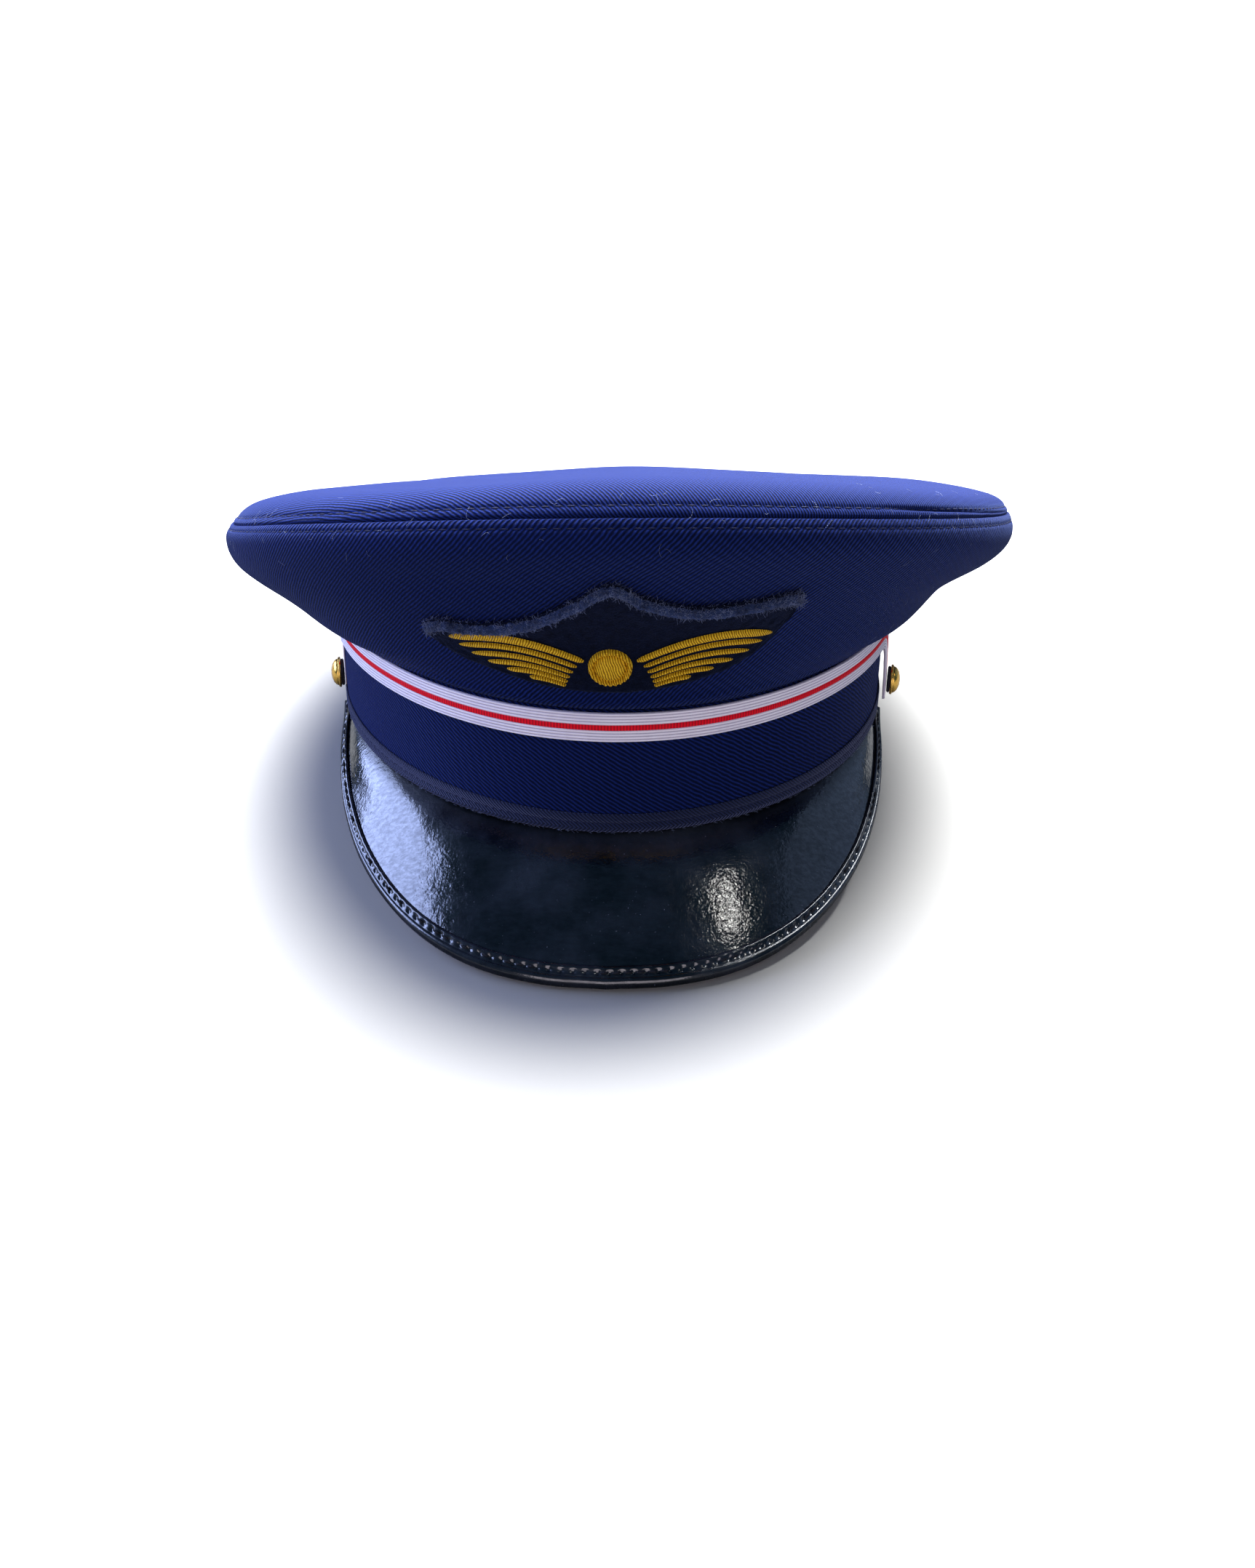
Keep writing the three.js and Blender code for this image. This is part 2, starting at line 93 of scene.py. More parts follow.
def studio_camera():
    data = bpy.data.cameras.new("camera")
    data.lens = LENS
    data.clip_start = 0.01
    camera = in_scene("camera", data)
    camera.matrix_world = (
        Matrix.Translation(EYE)
        @ Matrix.Rotation(-LOOK_RIGHT, 4, "Z")
        @ Matrix.Rotation(PI / 2 - LOOK_DOWN, 4, "X")
        @ Matrix.Rotation(ROLL, 4, "Z")
    )
    bpy.context.scene.camera = camera


def studio_floor():
    bm = bmesh.new()
    bmesh.ops.create_grid(bm, x_segments=1, y_segments=1, size=FLOOR_SIZE / 2)
    floor = in_scene("floor", mesh_of(bm, "floor"))
    material = bpy.data.materials.new("pale_floor")
    material.use_nodes = True
    nodes = material.node_tree.nodes
    pale = nodes["Principled BSDF"]
    pale.inputs["Base Color"].default_value = FLOOR_SEEN
    pale.inputs["Roughness"].default_value = 0.9
    quiet = nodes.new("ShaderNodeBsdfDiffuse")
    quiet.inputs["Color"].default_value = FLOOR_GIVES
    shown_to_camera(material.node_tree, pale, quiet, nodes["Material Output"].inputs["Surface"])
    floor.data.materials.append(material)


def studio_air():
    world = bpy.data.worlds.new("studio")
    world.use_nodes = True
    nodes = world.node_tree.nodes
    quiet = nodes["Background"]
    quiet.inputs["Color"].default_value = AIR_GIVES
    quiet.inputs["Strength"].default_value = AIR_STRENGTH
    pale = nodes.new("ShaderNodeBackground")
    pale.inputs["Color"].default_value = AIR_SEEN
    shown_to_camera(world.node_tree, pale, quiet, nodes["World Output"].inputs["Surface"])
    bpy.context.scene.world = world
    bpy.context.scene.view_settings.view_transform = "Standard"


def daylight():
    data = bpy.data.lights.new("daylight", "SUN")
    data.energy = SUN_STRENGTH
    data.angle = SUN_SPREAD
    data.color = (0.93, 0.96, 1)
    in_scene("daylight", data).rotation_euler = SUN_TURN


def soft_light(name, place, aim, width, height, power, colour):
    data = bpy.data.lights.new(name, "AREA")
    data.shape = "RECTANGLE"
    data.size = width
    data.size_y = height
    data.energy = power
    data.color = colour
    light = in_scene(name, data)
    light.location = place
    light.rotation_mode = "QUATERNION"
    light.rotation_quaternion = (Vector(aim) - Vector(place)).to_track_quat("-Z", "Y")
    light.visible_camera = False


studio_camera()
studio_floor()
studio_air()
daylight()
for light in SOFT_LIGHTS:
    soft_light(*light)

# Band: a strip of navy wool twill stretched over stiff card and joined at the back. Its lower
# edge dips at the front. The whole cap is drawn upright on it, and then tipped back so that
# it rests on its peak and the back of the band.
TILT = math.radians(7.9)
SEAT = Vector((-1.29, 7.34, 14.27))
BAND_HALF_WIDTH = 85
BAND_HALF_DEPTH = 107
BAND_HEIGHT = 33
BAND_WALL = 3
HEM_DIP = 4
BAND_TOP_DIP = 3
AROUND = 280
TIPPED = Matrix.Translation(SEAT) @ Matrix.Rotation(-TILT, 4, "X")


def steps(count, low, high):
    return [low + (high - low) * i / count for i in range(count + 1)]


# Turns round the cap, from the back through the left, the front and the right.
TURNS = steps(AROUND, -PI, PI)


def band_normal(turn):
    out = Vector((math.sin(turn) / BAND_HALF_WIDTH, -math.cos(turn) / BAND_HALF_DEPTH, 0))
    return out.normalized()


def band_point(turn, height, out):
    """Point on the band by turn from the front, height above its lower edge and distance out."""
    ahead = math.cos(turn)
    dips = max(ahead, 0) ** 2
    lower = -HEM_DIP * dips
    upper = BAND_HEIGHT - BAND_TOP_DIP * dips
    point = Vector((BAND_HALF_WIDTH * math.sin(turn), -BAND_HALF_DEPTH * ahead, 0))
    point += band_normal(turn) * out
    point.z = lower + (upper - lower) * height / BAND_HEIGHT
    return point


def cloth_grid(columns, rows, place, weld=True, heights=None, flat_round=False):
    """A grid laid out by place(column, row), with a UV map in metres measured along the cloth.

    heights gives the second coordinate of each row, where it isn't to be measured. A grid that
    is flat_round has turns for columns, and is mapped as a disc round its last row."""
    bm = bmesh.new()
    across, along = len(columns) - 1, len(rows) - 1
    bmesh.ops.create_grid(bm, x_segments=across, y_segments=along, size=0.5)
    points = [[place(column, row) for row in rows] for column in columns]
    middle = across // 2
    u = [[0.0] * (along + 1) for _ in columns]
    v = [[0.0] * (along + 1) for _ in columns]
    for j in range(along + 1):
        for i in range(middle + 1, across + 1):
            u[i][j] = u[i - 1][j] + (points[i][j] - points[i - 1][j]).length
        for i in range(middle - 1, -1, -1):
            u[i][j] = u[i + 1][j] - (points[i][j] - points[i + 1][j]).length
    for i in range(across + 1):
        for j in range(1, along + 1):
            measured = v[i][j - 1] + (points[i][j] - points[i][j - 1]).length
            v[i][j] = heights[j] if heights else measured
    if flat_round:
        for i, turn in enumerate(columns):
            whole = v[i][along]
            for j in range(along + 1):
                reach = whole - v[i][j]
                u[i][j], v[i][j] = reach * math.sin(turn), -reach * math.cos(turn)
    layer = bm.loops.layers.uv.new("cloth")
    seat = {
        vert: (round((vert.co.x + 0.5) * across), round((vert.co.y + 0.5) * along))
        for vert in bm.verts
    }
    for face in bm.faces:
        for loop in face.loops:
            i, j = seat[loop.vert]
            loop[layer].uv = (u[i][j] * MM, v[i][j] * MM)
    for vert, (i, j) in seat.items():
        vert.co = TIPPED @ points[i][j] * MM
    if weld:
        bmesh.ops.remove_doubles(bm, verts=bm.verts, dist=0.01 * MM)
    return bm


def finished(bm, name, material, wall=0.0):
    """Mesh object from a bmesh, smooth shaded; wall gives a sheet its thickness, inwards."""
    mesh = mesh_of(bm, name)
    mesh.shade_smooth()
    mesh.materials.append(material)
    piece = in_scene(name, mesh)
    if wall:
        solid = piece.modifiers.new("wall", "SOLIDIFY")
        solid.thickness = wall * MM
        solid.offset = -1
        solid.use_even_offset = True
    return piece


def turned_out(bm, fill=False):
    """A shell with its faces turned outwards, and its open ends filled where that is asked."""
    if fill:
        bmesh.ops.holes_fill(bm, edges=[e for e in bm.edges if e.is_boundary], sides=0)
    bmesh.ops.recalc_face_normals(bm, faces=bm.faces)
    return bm


def on_cap(piece, node=None):
    """Lets a piece ride on the cap, in place of a node of the solids if it has one."""
    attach(piece, "root")
    if node:
        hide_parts(node)


class Sums:
    """Chains of nodes, so that a pattern can be written as a formula, for a shader's sockets."""

    def __init__(self, tree, surface=None):
        self.tree = tree
        self.surface = surface

    def math(self, operation, a, b=None, c=None):
        node = self.tree.nodes.new("ShaderNodeMath")
        node.operation = operation
        for socket, value in zip(node.inputs, (a, b, c)):
            if isinstance(value, bpy.types.NodeSocket):
                self.tree.links.new(value, socket)
            elif value is not None:
                socket.default_value = value
        return node.outputs[0]

    def times(self, a, b, plus=None):
        return self.math("MULTIPLY" if plus is None else "MULTIPLY_ADD", a, b, plus)

    def wave(self, phase):
        """0 to 1 and back once for each whole step of the phase."""
        turned = self.math("COSINE", self.times(phase, 2 * PI))
        return self.times(turned, 0.5, 0.5)

    def split(self, vector):
        node = self.tree.nodes.new("ShaderNodeSeparateXYZ")
        self.tree.links.new(vector, node.inputs[0])
        return node.outputs[0], node.outputs[1], node.outputs[2]

    def grain(self, vector, scale, detail=2.0, roughness=0.5):
        node = self.tree.nodes.new("ShaderNodeTexNoise")
        for socket, value in (("Scale", scale), ("Detail", detail), ("Roughness", roughness)):
            node.inputs[socket].default_value = value
        self.tree.links.new(vector, node.inputs["Vector"])
        return node.outputs["Fac"]

    def between(self, value, low, high, to_low=0.0, to_high=1.0):
        node = self.tree.nodes.new("ShaderNodeMapRange")
        ends = (("From Min", low), ("From Max", high), ("To Min", to_low), ("To Max", to_high))
        for socket, end in ends:
            node.inputs[socket].default_value = end
        self.tree.links.new(value, node.inputs["Value"])
        return node.outputs["Result"]

    def colours(self, value, stops):
        node = self.tree.nodes.new("ShaderNodeValToRGB")
        ramp = node.color_ramp
        while len(ramp.elements) < len(stops):
            ramp.elements.new(0.5)
        for element, (place, colour) in zip(ramp.elements, stops):
            element.position = place
            element.color = (*colour, 1)
        self.tree.links.new(value, node.inputs["Fac"])
        return node.outputs["Color"]

    def mix(self, factor, first, second):
        node = self.tree.nodes.new("ShaderNodeMix")
        node.data_type = "RGBA"
        for index, value in ((0, factor), (6, first), (7, second)):
            socket = node.inputs[index]
            if isinstance(value, bpy.types.NodeSocket):
                self.tree.links.new(value, socket)
            elif isinstance(value, float):
                socket.default_value = value
            else:
                socket.default_value = (*value, 1)
        return node.outputs[2]

    def cloth_place(self):
        node = self.tree.nodes.new("ShaderNodeUVMap")
        node.uv_map = "cloth"
        return node.outputs["UV"]

    def object_place(self):
        return self.tree.nodes.new("ShaderNodeTexCoord").outputs["Object"]

    def feed(self, value, socket):
        self.tree.links.new(value, self.surface.inputs[socket])

    def bump(self, height, distance):
        node = self.tree.nodes.new("ShaderNodeBump")
        node.inputs["Distance"].default_value = distance
        self.tree.links.new(height, node.inputs["Height"])
        self.feed(node.outputs["Normal"], "Normal")


def make_twill_group():
    """Twill: raised ribs on a slant, each broken into short floats of yarn, with loose fibre."""
    tree = bpy.data.node_groups.new("twill_weave", "ShaderNodeTree")
    tree.interface.new_socket("Place", in_out="INPUT", socket_type="NodeSocketVector")
    for label in ("Pitch", "Slant"):
        tree.interface.new_socket(label, in_out="INPUT", socket_type="NodeSocketFloat")
    for label in ("Height", "Fibre"):
        tree.interface.new_socket(label, in_out="OUTPUT", socket_type="NodeSocketFloat")
    given = tree.nodes.new("NodeGroupInput")
    result = tree.nodes.new("NodeGroupOutput")
    sums = Sums(tree)
    place = given.outputs["Place"]
    u, v, _ = sums.split(place)
    wander = sums.math("SUBTRACT", sums.grain(place, 160, 2), 0.5)
    diagonal = sums.times(v, given.outputs["Slant"], u)
    ribs = sums.math("DIVIDE", diagonal, given.outputs["Pitch"])
    ribs = sums.times(wander, 0.9, ribs)
    rib = sums.wave(ribs)
    row = sums.math("FLOOR", ribs)
    floats = sums.math("DIVIDE", v, given.outputs["Pitch"])
    floats = sums.times(row, 0.37, sums.times(floats, 0.8))
    yarn = sums.wave(floats)
    fibre = sums.grain(place, 2600, 3, 0.7)
    height = sums.times(rib, sums.times(yarn, 0.35, 0.65))
    height = sums.times(fibre, 0.5, height)
    tree.links.new(height, result.inputs["Height"])
    tree.links.new(fibre, result.inputs["Fibre"])
    return tree


TWILL_WEAVE = make_twill_group()


def new_material(name, constants):
    """A material and its sums, with constants for some sockets of its one surface shader."""
    material = bpy.data.materials.new(name)
    material.use_nodes = True
    surface = material.node_tree.nodes["Principled BSDF"]
    for socket, value in constants.items():
        surface.inputs[socket].default_value = value
    return material, Sums(material.node_tree, surface)


# Navy colours by the height of the weave: the low stop is painted shade between the ribs, the high
# stop painted highlight on them.
TWILL_SHADES = [
    (0.2, (0.0003, 0.0012, 0.011)), (0.65, (0.0020, 0.0070, 0.051)), (1.0, (0.008, 0.022, 0.152)),
]


def navy_twill(name, slant, pitch, relief=0.0003):
    """Deep navy wool twill with pale lint on top, painted dark between the ribs as painted shade
    and bluer on them as painted highlight.
    """
    material, sums = new_material(name, {
        "Sheen Weight": 0.13, "Sheen Roughness": 0.3, "Sheen Tint": (0.3, 0.42, 1, 1),
        "Specular IOR Level": 0.08,
    })
    weave = sums.tree.nodes.new("ShaderNodeGroup")
    weave.node_tree = TWILL_WEAVE
    weave.inputs["Pitch"].default_value = pitch
    weave.inputs["Slant"].default_value = slant
    sums.tree.links.new(sums.cloth_place(), weave.inputs["Place"])
    # Colour by the height of the weave: darker between the ribs as painted shade, lighter on them
    # as painted highlight, over the navy of the wool.
    shade = sums.colours(weave.outputs["Height"], TWILL_SHADES)
    cloud = sums.grain(sums.object_place(), 34, 3)
    faded = sums.mix(sums.between(cloud, 0.35, 0.75, 0.0, 0.3), shade, (0.0032, 0.0088, 0.066))
    lint = sums.between(sums.grain(sums.object_place(), 900, 4, 0.8), 0.69, 0.76)
    linted = sums.mix(sums.times(lint, 0.3), faded, (0.08, 0.10, 0.24))
    sums.feed(linted, "Base Color")
    rough = sums.between(weave.outputs["Fibre"], 0.3, 0.7, 0.78, 0.95)
    sums.feed(rough, "Roughness")
    sums.bump(weave.outputs["Height"], relief)
    return material


BAND_TWILL = navy_twill("band_twill", 1.5, 0.0018)


def band_cloth():
    rolled = 0.6
    foot = 1.0
    outline = [
        (-rolled, foot), (-0.15, foot + 0.2), (0, foot + rolled),
        *[(0, height) for height in steps(16, foot + 2 * rolled, BAND_HEIGHT - 2 * rolled)],
        (0, BAND_HEIGHT - rolled), (-0.15, BAND_HEIGHT - 0.15), (-rolled, BAND_HEIGHT),
        (rolled - BAND_WALL, BAND_HEIGHT), (-BAND_WALL, BAND_HEIGHT - rolled),
        (-BAND_WALL, foot + rolled), (rolled - BAND_WALL, foot), (-rolled, foot),
    ]

    def place(turn, index):
        out, height = outline[index]
        slack = 0.25 * noise.noise(Vector((math.sin(turn) * 3, math.cos(turn) * 3, height / 20)))
        return band_point(turn, height, out + (slack if out > -1 else 0))

    return turned_out(cloth_grid(TURNS, range(len(outline)), place))


on_cap(finished(band_cloth(), "band_cloth", BAND_TWILL), "band")

# Hem tape: a narrow ribbed navy tape folded round the lower edge of the band and sewn down
# with two rows of stitches, which leave it standing in two soft ridges.
TAPE_WALL = 0.5
TAPE_WIDTH = 5
TAPE_CLEAR = 0.15
TAPE_VALLEY = 0.3
HEM_STITCHES = 230


def tape_weave(name):
    material, sums = new_material(name, {
        "Roughness": 0.85, "Sheen Weight": 0.3, "Sheen Tint": (0.5, 0.55, 0.9, 1),
        "Specular IOR Level": 0.1,
    })
    place = sums.cloth_place()
    u, v, _ = sums.split(place)
    from_fold = sums.math("ABSOLUTE", sums.math("SUBTRACT", v, 0.009))
    leaning = sums.times(from_fold, 1.2, u)
    ribs = sums.wave(sums.math("DIVIDE", leaning, 0.0011))
    fibre = sums.grain(place, 2200, 3, 0.7)
    height = sums.times(fibre, 0.6, ribs)
    # The ribs are coloured lighter and the valleys between them darker: painted highlight and
    # painted shade over the navy of the tape.
    shade = sums.colours(height, [(0.3, (0.002, 0.003, 0.010)), (1.0, (0.013, 0.020, 0.066))])
    lint = sums.between(sums.grain(sums.object_place(), 700, 4, 0.8), 0.62, 0.74)
    shade = sums.mix(sums.times(lint, 0.3), shade, (0.05, 0.06, 0.14))
    sums.feed(shade, "Base Color")
    sums.bump(height, 0.0002)
    return material


def hem_tape():
    face = TAPE_CLEAR + TAPE_WALL
    valley = face - TAPE_VALLEY
    inside = -BAND_WALL - 0.3
    outline = [
        (TAPE_CLEAR, TAPE_WALL), (TAPE_CLEAR, TAPE_WIDTH - 0.1), (valley, TAPE_WIDTH + 0.1),
        (face - 0.1, TAPE_WIDTH - 0.25), (face, TAPE_WIDTH - 0.8), (face, TAPE_WIDTH - 1.6),
        (face - 0.12, TAPE_WIDTH - 2.1), (valley, TAPE_WIDTH / 2), (face - 0.12, 2.1),
        (face, 1.6), (face, 0.7), (face - 0.15, 0.2), (valley, 0.02), (0, 0),
        (inside, 0), (inside - TAPE_WALL / 2, 0.15), (inside - TAPE_WALL, 0.6),
        (inside - TAPE_WALL, TAPE_WIDTH), (inside, TAPE_WIDTH), (inside, TAPE_WALL),
        (TAPE_CLEAR, TAPE_WALL),
    ]

    def place(turn, index):
        out, height = outline[index]
        pucker = 0.08 * noise.noise(Vector((turn * 40, height / 2, 1)))
        return band_point(turn, height, out + (pucker if out > valley else 0))

    return turned_out(cloth_grid(TURNS, range(len(outline)), place))


def stitch_shape():
    """A pill of thread along +X, one unit long, wide and high to each side."""
    bm = bmesh.new()
    bmesh.ops.create_uvsphere(
        bm, u_segments=8, v_segments=6, radius=1, matrix=Matrix.Rotation(PI / 2, 4, "Y")
    )
    return mesh_of(bm, "stitch")


STITCH = stitch_shape()


def stamped(bm, shape, matrix):
    """A copy of a small mesh added to a larger one."""
    copy = shape.copy()
    copy.transform(matrix)
    bm.from_mesh(copy)
    bpy.data.meshes.remove(copy)


def sewn(bm, start, end, out, thickness):
    """One stitch from start to end, lying on a face that looks out."""
    middle = TIPPED @ ((start + end) / 2) * MM
    ahead = (TIPPED.to_3x3() @ (end - start)).normalized()
    up = (TIPPED.to_3x3() @ out).normalized()
    side = up.cross(ahead).normalized()
    up = ahead.cross(side)
    half = (end - start).length / 2 * MM
    radius = thickness * MM / 2
    sized = Matrix((ahead * half, side * radius, up * radius)).transposed().to_4x4()
    stamped(bm, STITCH, Matrix.Translation(middle) @ sized)


def thread(name, dark, light, scale=3000):
    """Twisted sewing thread, a little glossy."""
    material, sums = new_material(
        name, {"Roughness": 0.65, "Specular IOR Level": 0.2}
    )
    twist = sums.grain(sums.object_place(), scale, 2)
    sums.feed(sums.colours(twist, [(0.3, dark), (0.7, light)]), "Base Color")
    sums.bump(twist, 0.0001)
    return material


NAVY_THREAD = thread("navy_thread", (0.002, 0.003, 0.016), (0.010, 0.016, 0.07))


def hem_stitches():
    """Stitches in the valley between the ridges of the tape."""
    bm = bmesh.new()
    height, out = TAPE_WIDTH / 2, TAPE_CLEAR + TAPE_WALL - TAPE_VALLEY
    for k in range(HEM_STITCHES):
        turn = -PI + 2 * PI * (k + 0.2) / HEM_STITCHES
        far = -PI + 2 * PI * (k + 0.85) / HEM_STITCHES
        start, end = band_point(turn, height, out), band_point(far, height, out)
        sewn(bm, start, end, band_normal(turn), 0.35)
    return bm


on_cap(finished(hem_tape(), "hem_tape", tape_weave("ribbed_tape")), "band_hem")
on_cap(finished(hem_stitches(), "hem_stitches", NAVY_THREAD))

# Crown: the side wall flares from the top of the band to the seam and the top panel closes
# it, both of the same twill. The seam is turned in and sewn down with a row of stitches on
# each side, and the top panel stands up a little along the middle.
Ring = namedtuple("Ring", "left right front back z_front z_right z_back z_left")
CROWN = [
    Ring(85, 85, 107, 107, 30.3, 33.3, 33.3, 33.3),
    Ring(94.5, 94.5, 109.5, 110.5, 40, 33.5, 33, 31.5),
    Ring(104, 103.5, 114, 115, 52, 40.5, 33, 35),
    Ring(114.5, 114.5, 122.5, 120, 66, 45, 33.5, 40),
    Ring(116.5, 119, 130.5, 122.5, 77.5, 51, 36.5, 47.5),
    Ring(113, 117.5, 129.5, 120.5, 85, 57, 39.5, 52.5),
    Ring(107, 111, 122, 113.5, 89.5, 61.5, 41, 56),
    Ring(89, 91.5, 103, 96, 86, 64.5, 43.5, 59.5),
    Ring(54.5, 55, 62, 60, 77.5, 65, 51, 62.5),
    Ring(0, 0, 0, 0, 63, 63, 63, 63),
]
SEAM = 5
APEX = len(CROWN) - 1
CLOTH = 1.6
HUMP_RISE = 2.1
HUMP_MIDDLE = 8
HUMP_SPREAD = 34
SEAM_DEPTH = 0.65
SEAM_SPREAD = 0.045
ROLL_DEPTH = 0.12
ROLL_SPREAD = 0.16
WELT_RING = 0.24
STITCH_FROM_SEAM = 2.6
SEAM_STITCHES = 245


def between(rows, at):
    """Values of a table at a row number with a fraction, on a smooth curve through the rows."""
    last = len(rows) - 1
    i = min(max(math.floor(at), 0), last - 1)
    t = at - i
    b, c = rows[i], rows[i + 1]
    a = rows[i - 1] if i > 0 else [2 * q - r for q, r in zip(b, c)]
    d = rows[i + 2] if i + 1 < last else [2 * r - q for q, r in zip(b, c)]

    def smooth(p, q, r, s):
        bend = (2 * p - 5 * q + 4 * r - s) * t * t
        twist = (3 * q - p - 3 * r + s) * t ** 3
        return q + ((r - p) * t + bend + twist) / 2

    return type(b)(*(smooth(*values) for values in zip(a, b, c, d)))


def bell(*offsets):
    """1 where all the offsets are 0, falling off smoothly where any of them nears 1."""
    return math.exp(-sum(offset ** 2 for offset in offsets))


@lru_cache(maxsize=None)
def crown_ring(ring):
    return between(CROWN, ring)


@lru_cache(maxsize=None)
def ring_step(side):
    """Millimetres for one ring just below or above the seam, at the front."""
    return (crown_surface(SEAM + 0.5 * side, 0) - crown_surface(SEAM, 0)).length / 0.5


def seam_sag(ring, turn):
    """The seam sags on the left, so that the cloth beside it hangs lower there."""
    return -0.33 * bell((turn + 1.45) / 0.55, (ring - SEAM) / 1.1)


def crown_surface(ring, turn):
    at = crown_ring(round(ring + seam_sag(ring, turn), 4))
    across, ahead = math.sin(turn), math.cos(turn)
    x = (at.right if across > 0 else at.left) * across
    y = -(at.front if ahead > 0 else at.back) * ahead
    side = (at.z_right + at.z_left) / 2
    z = side + (at.z_front - at.z_back) / 2 * ahead + (at.z_right - at.z_left) / 2 * across
    z += ((at.z_front + at.z_back) / 2 - side) * ahead * ahead
    on_top = min(max((ring - SEAM) / 2, 0), 1)
    z += HUMP_RISE * on_top * bell((x - HUMP_MIDDLE) / HUMP_SPREAD)
    z -= 2.2 * bell((turn + 1.25) / 0.45, (ring - 0.75) / 0.6)
    x += 1.3 * bell((turn + 1.5) / 0.5, (ring - 5.9) / 0.45)
    return Vector((x, y, z))


def crown_normal(ring, turn):
    step = 0.01
    up = crown_surface(ring + step, turn) - crown_surface(ring - step, turn)
    around = crown_surface(ring, turn + step) - crown_surface(ring, turn - step)
    return around.cross(up).normalized()


def crown_waves(ring, turn):
    """How far the cloth stands out or in: slow waves, puckers by the seam and one small pleat."""
    reach = 2.2 * min(1, (APEX - ring) / 2.5)
    near = Vector((math.sin(turn) * reach, math.cos(turn) * reach, min(ring, 6.5) * 0.7))
    slow = 0.5 * noise.noise(near) * min(ring, 1)
    from_seam = ring - SEAM
    pucker = 0.2 * noise.noise(Vector((turn * 26, 3, ring))) * bell(from_seam / 0.5)
    row = STITCH_FROM_SEAM / ring_step(1 if from_seam > 0 else -1)
    sewn_in = -0.25 * bell((abs(from_seam) - row) / 0.07)
    pleat_ring = 0.30 - 0.20 * (turn - 0.62) / 0.55
    along = min(max((turn - 0.55) / 0.15, 0), 1) * min(max((1.3 - turn) / 0.3, 0), 1)
    pleat = -0.7 * along * bell((from_seam - pleat_ring) / 0.05)
    welt = 0.45 * bell((ring - WELT_RING) / 0.07)
    return slow + pucker + sewn_in + pleat + welt


def crown_point(ring, turn, out=0.0):
    from_seam = ring - SEAM
    groove = SEAM_DEPTH * bell(from_seam / SEAM_SPREAD) + ROLL_DEPTH * bell(from_seam / ROLL_SPREAD)
    rise = out - groove + crown_waves(ring, turn)
    return crown_surface(ring, turn) + crown_normal(ring, turn) * rise


def rings_near_seam(low, high, spacing):
    """Ring numbers from low to high, closer beside the seam and closest in its groove."""
    rows = set(steps(round((high - low) / spacing), low, high))
    for reach, closer in ((0.75, spacing / 3), (0.16, spacing / 8)):
        start, end = max(low, SEAM - reach), min(high, SEAM + reach)
        rows |= set(steps(round((end - start) / closer), start, end))
    rows = sorted(rows)
    return [row for row, after in zip(rows, rows[1:]) if after - row > 0.004] + [rows[-1]]


SIDE_TWILL = navy_twill("crown_side_twill", -0.9, 0.0013)
TOP_TWILL = navy_twill("crown_top_twill", 0.9, 0.0011, 0.00014)


def crown_side():
    rings = rings_near_seam(0.01, SEAM, 0.12)
    bm = cloth_grid(TURNS, rings, lambda turn, ring: crown_point(ring, turn))
    return finished(bm, "crown_side_cloth", SIDE_TWILL, CLOTH)


def crown_top():
    rings = [*rings_near_seam(SEAM, APEX - 0.3, 0.12), APEX - 0.12, APEX - 0.001]
    bm = cloth_grid(TURNS, rings, lambda turn, ring: crown_point(ring, turn), flat_round=True)
    return finished(bm, "crown_top_cloth", TOP_TWILL, CLOTH)


def seam_stitches():
    """Two rows of topstitching, one on each side of the seam."""
    bm = bmesh.new()
    for side in (-1, 1):
        ring = SEAM + side * STITCH_FROM_SEAM / ring_step(side)
        for k in range(SEAM_STITCHES):
            turn = -PI + 2 * PI * (k + 0.12) / SEAM_STITCHES
            far = -PI + 2 * PI * (k + 0.82) / SEAM_STITCHES
            start, end = crown_point(ring, turn), crown_point(ring, far)
            sewn(bm, start, end, crown_normal(ring, turn), 0.36)
    return bm


on_cap(crown_side(), "crown_side")
on_cap(crown_top(), "crown_top")
on_cap(finished(seam_stitches(), "seam_stitches", NAVY_THREAD))

# Chin strap: a flat white braid with fine ribs along it and one red rib down the middle. It
# lies on the band over the front and turns down at each end to a button.
Bend = namedtuple("Bend", "turn height lift")
STRAP = [
    Bend(0, 25.8, 0.3), Bend(15, 26, 0.3), Bend(30, 26.6, 0.3), Bend(45, 27.3, 0.3),
    Bend(58, 27.6, 0.3), Bend(66, 27.3, 0.35), Bend(70.5, 26, 0.5), Bend(73.3, 22.6, 0.7),
    Bend(74.9, 17.5, 0.9), Bend(76.1, 12.5, 1.1), Bend(77, 7.7, 1.3), Bend(77.7, 3, 1.4),
]
LEFT_LIFT = 0.1
STRAP_WIDTH = 7.9
STRAP_THICKNESS = 1.1
STRIPE = 1.5
SIDE_RIBS = 4
PICK = 0.0008


@lru_cache(maxsize=None)
def strap_path(row):
    """Point and turn on the middle line of the strap, by table row, negative to the left."""
    at = between(STRAP, abs(row))
    turn = math.radians(at.turn) * (1 if row > 0 else -1)
    lift = at.lift if row > 0 else min(at.lift, max(LEFT_LIFT, 0.3 - 0.2 * max(-row - 6, 0)))
    point = band_point(turn, 0, lift)
    point.z = at.height
    return point, turn


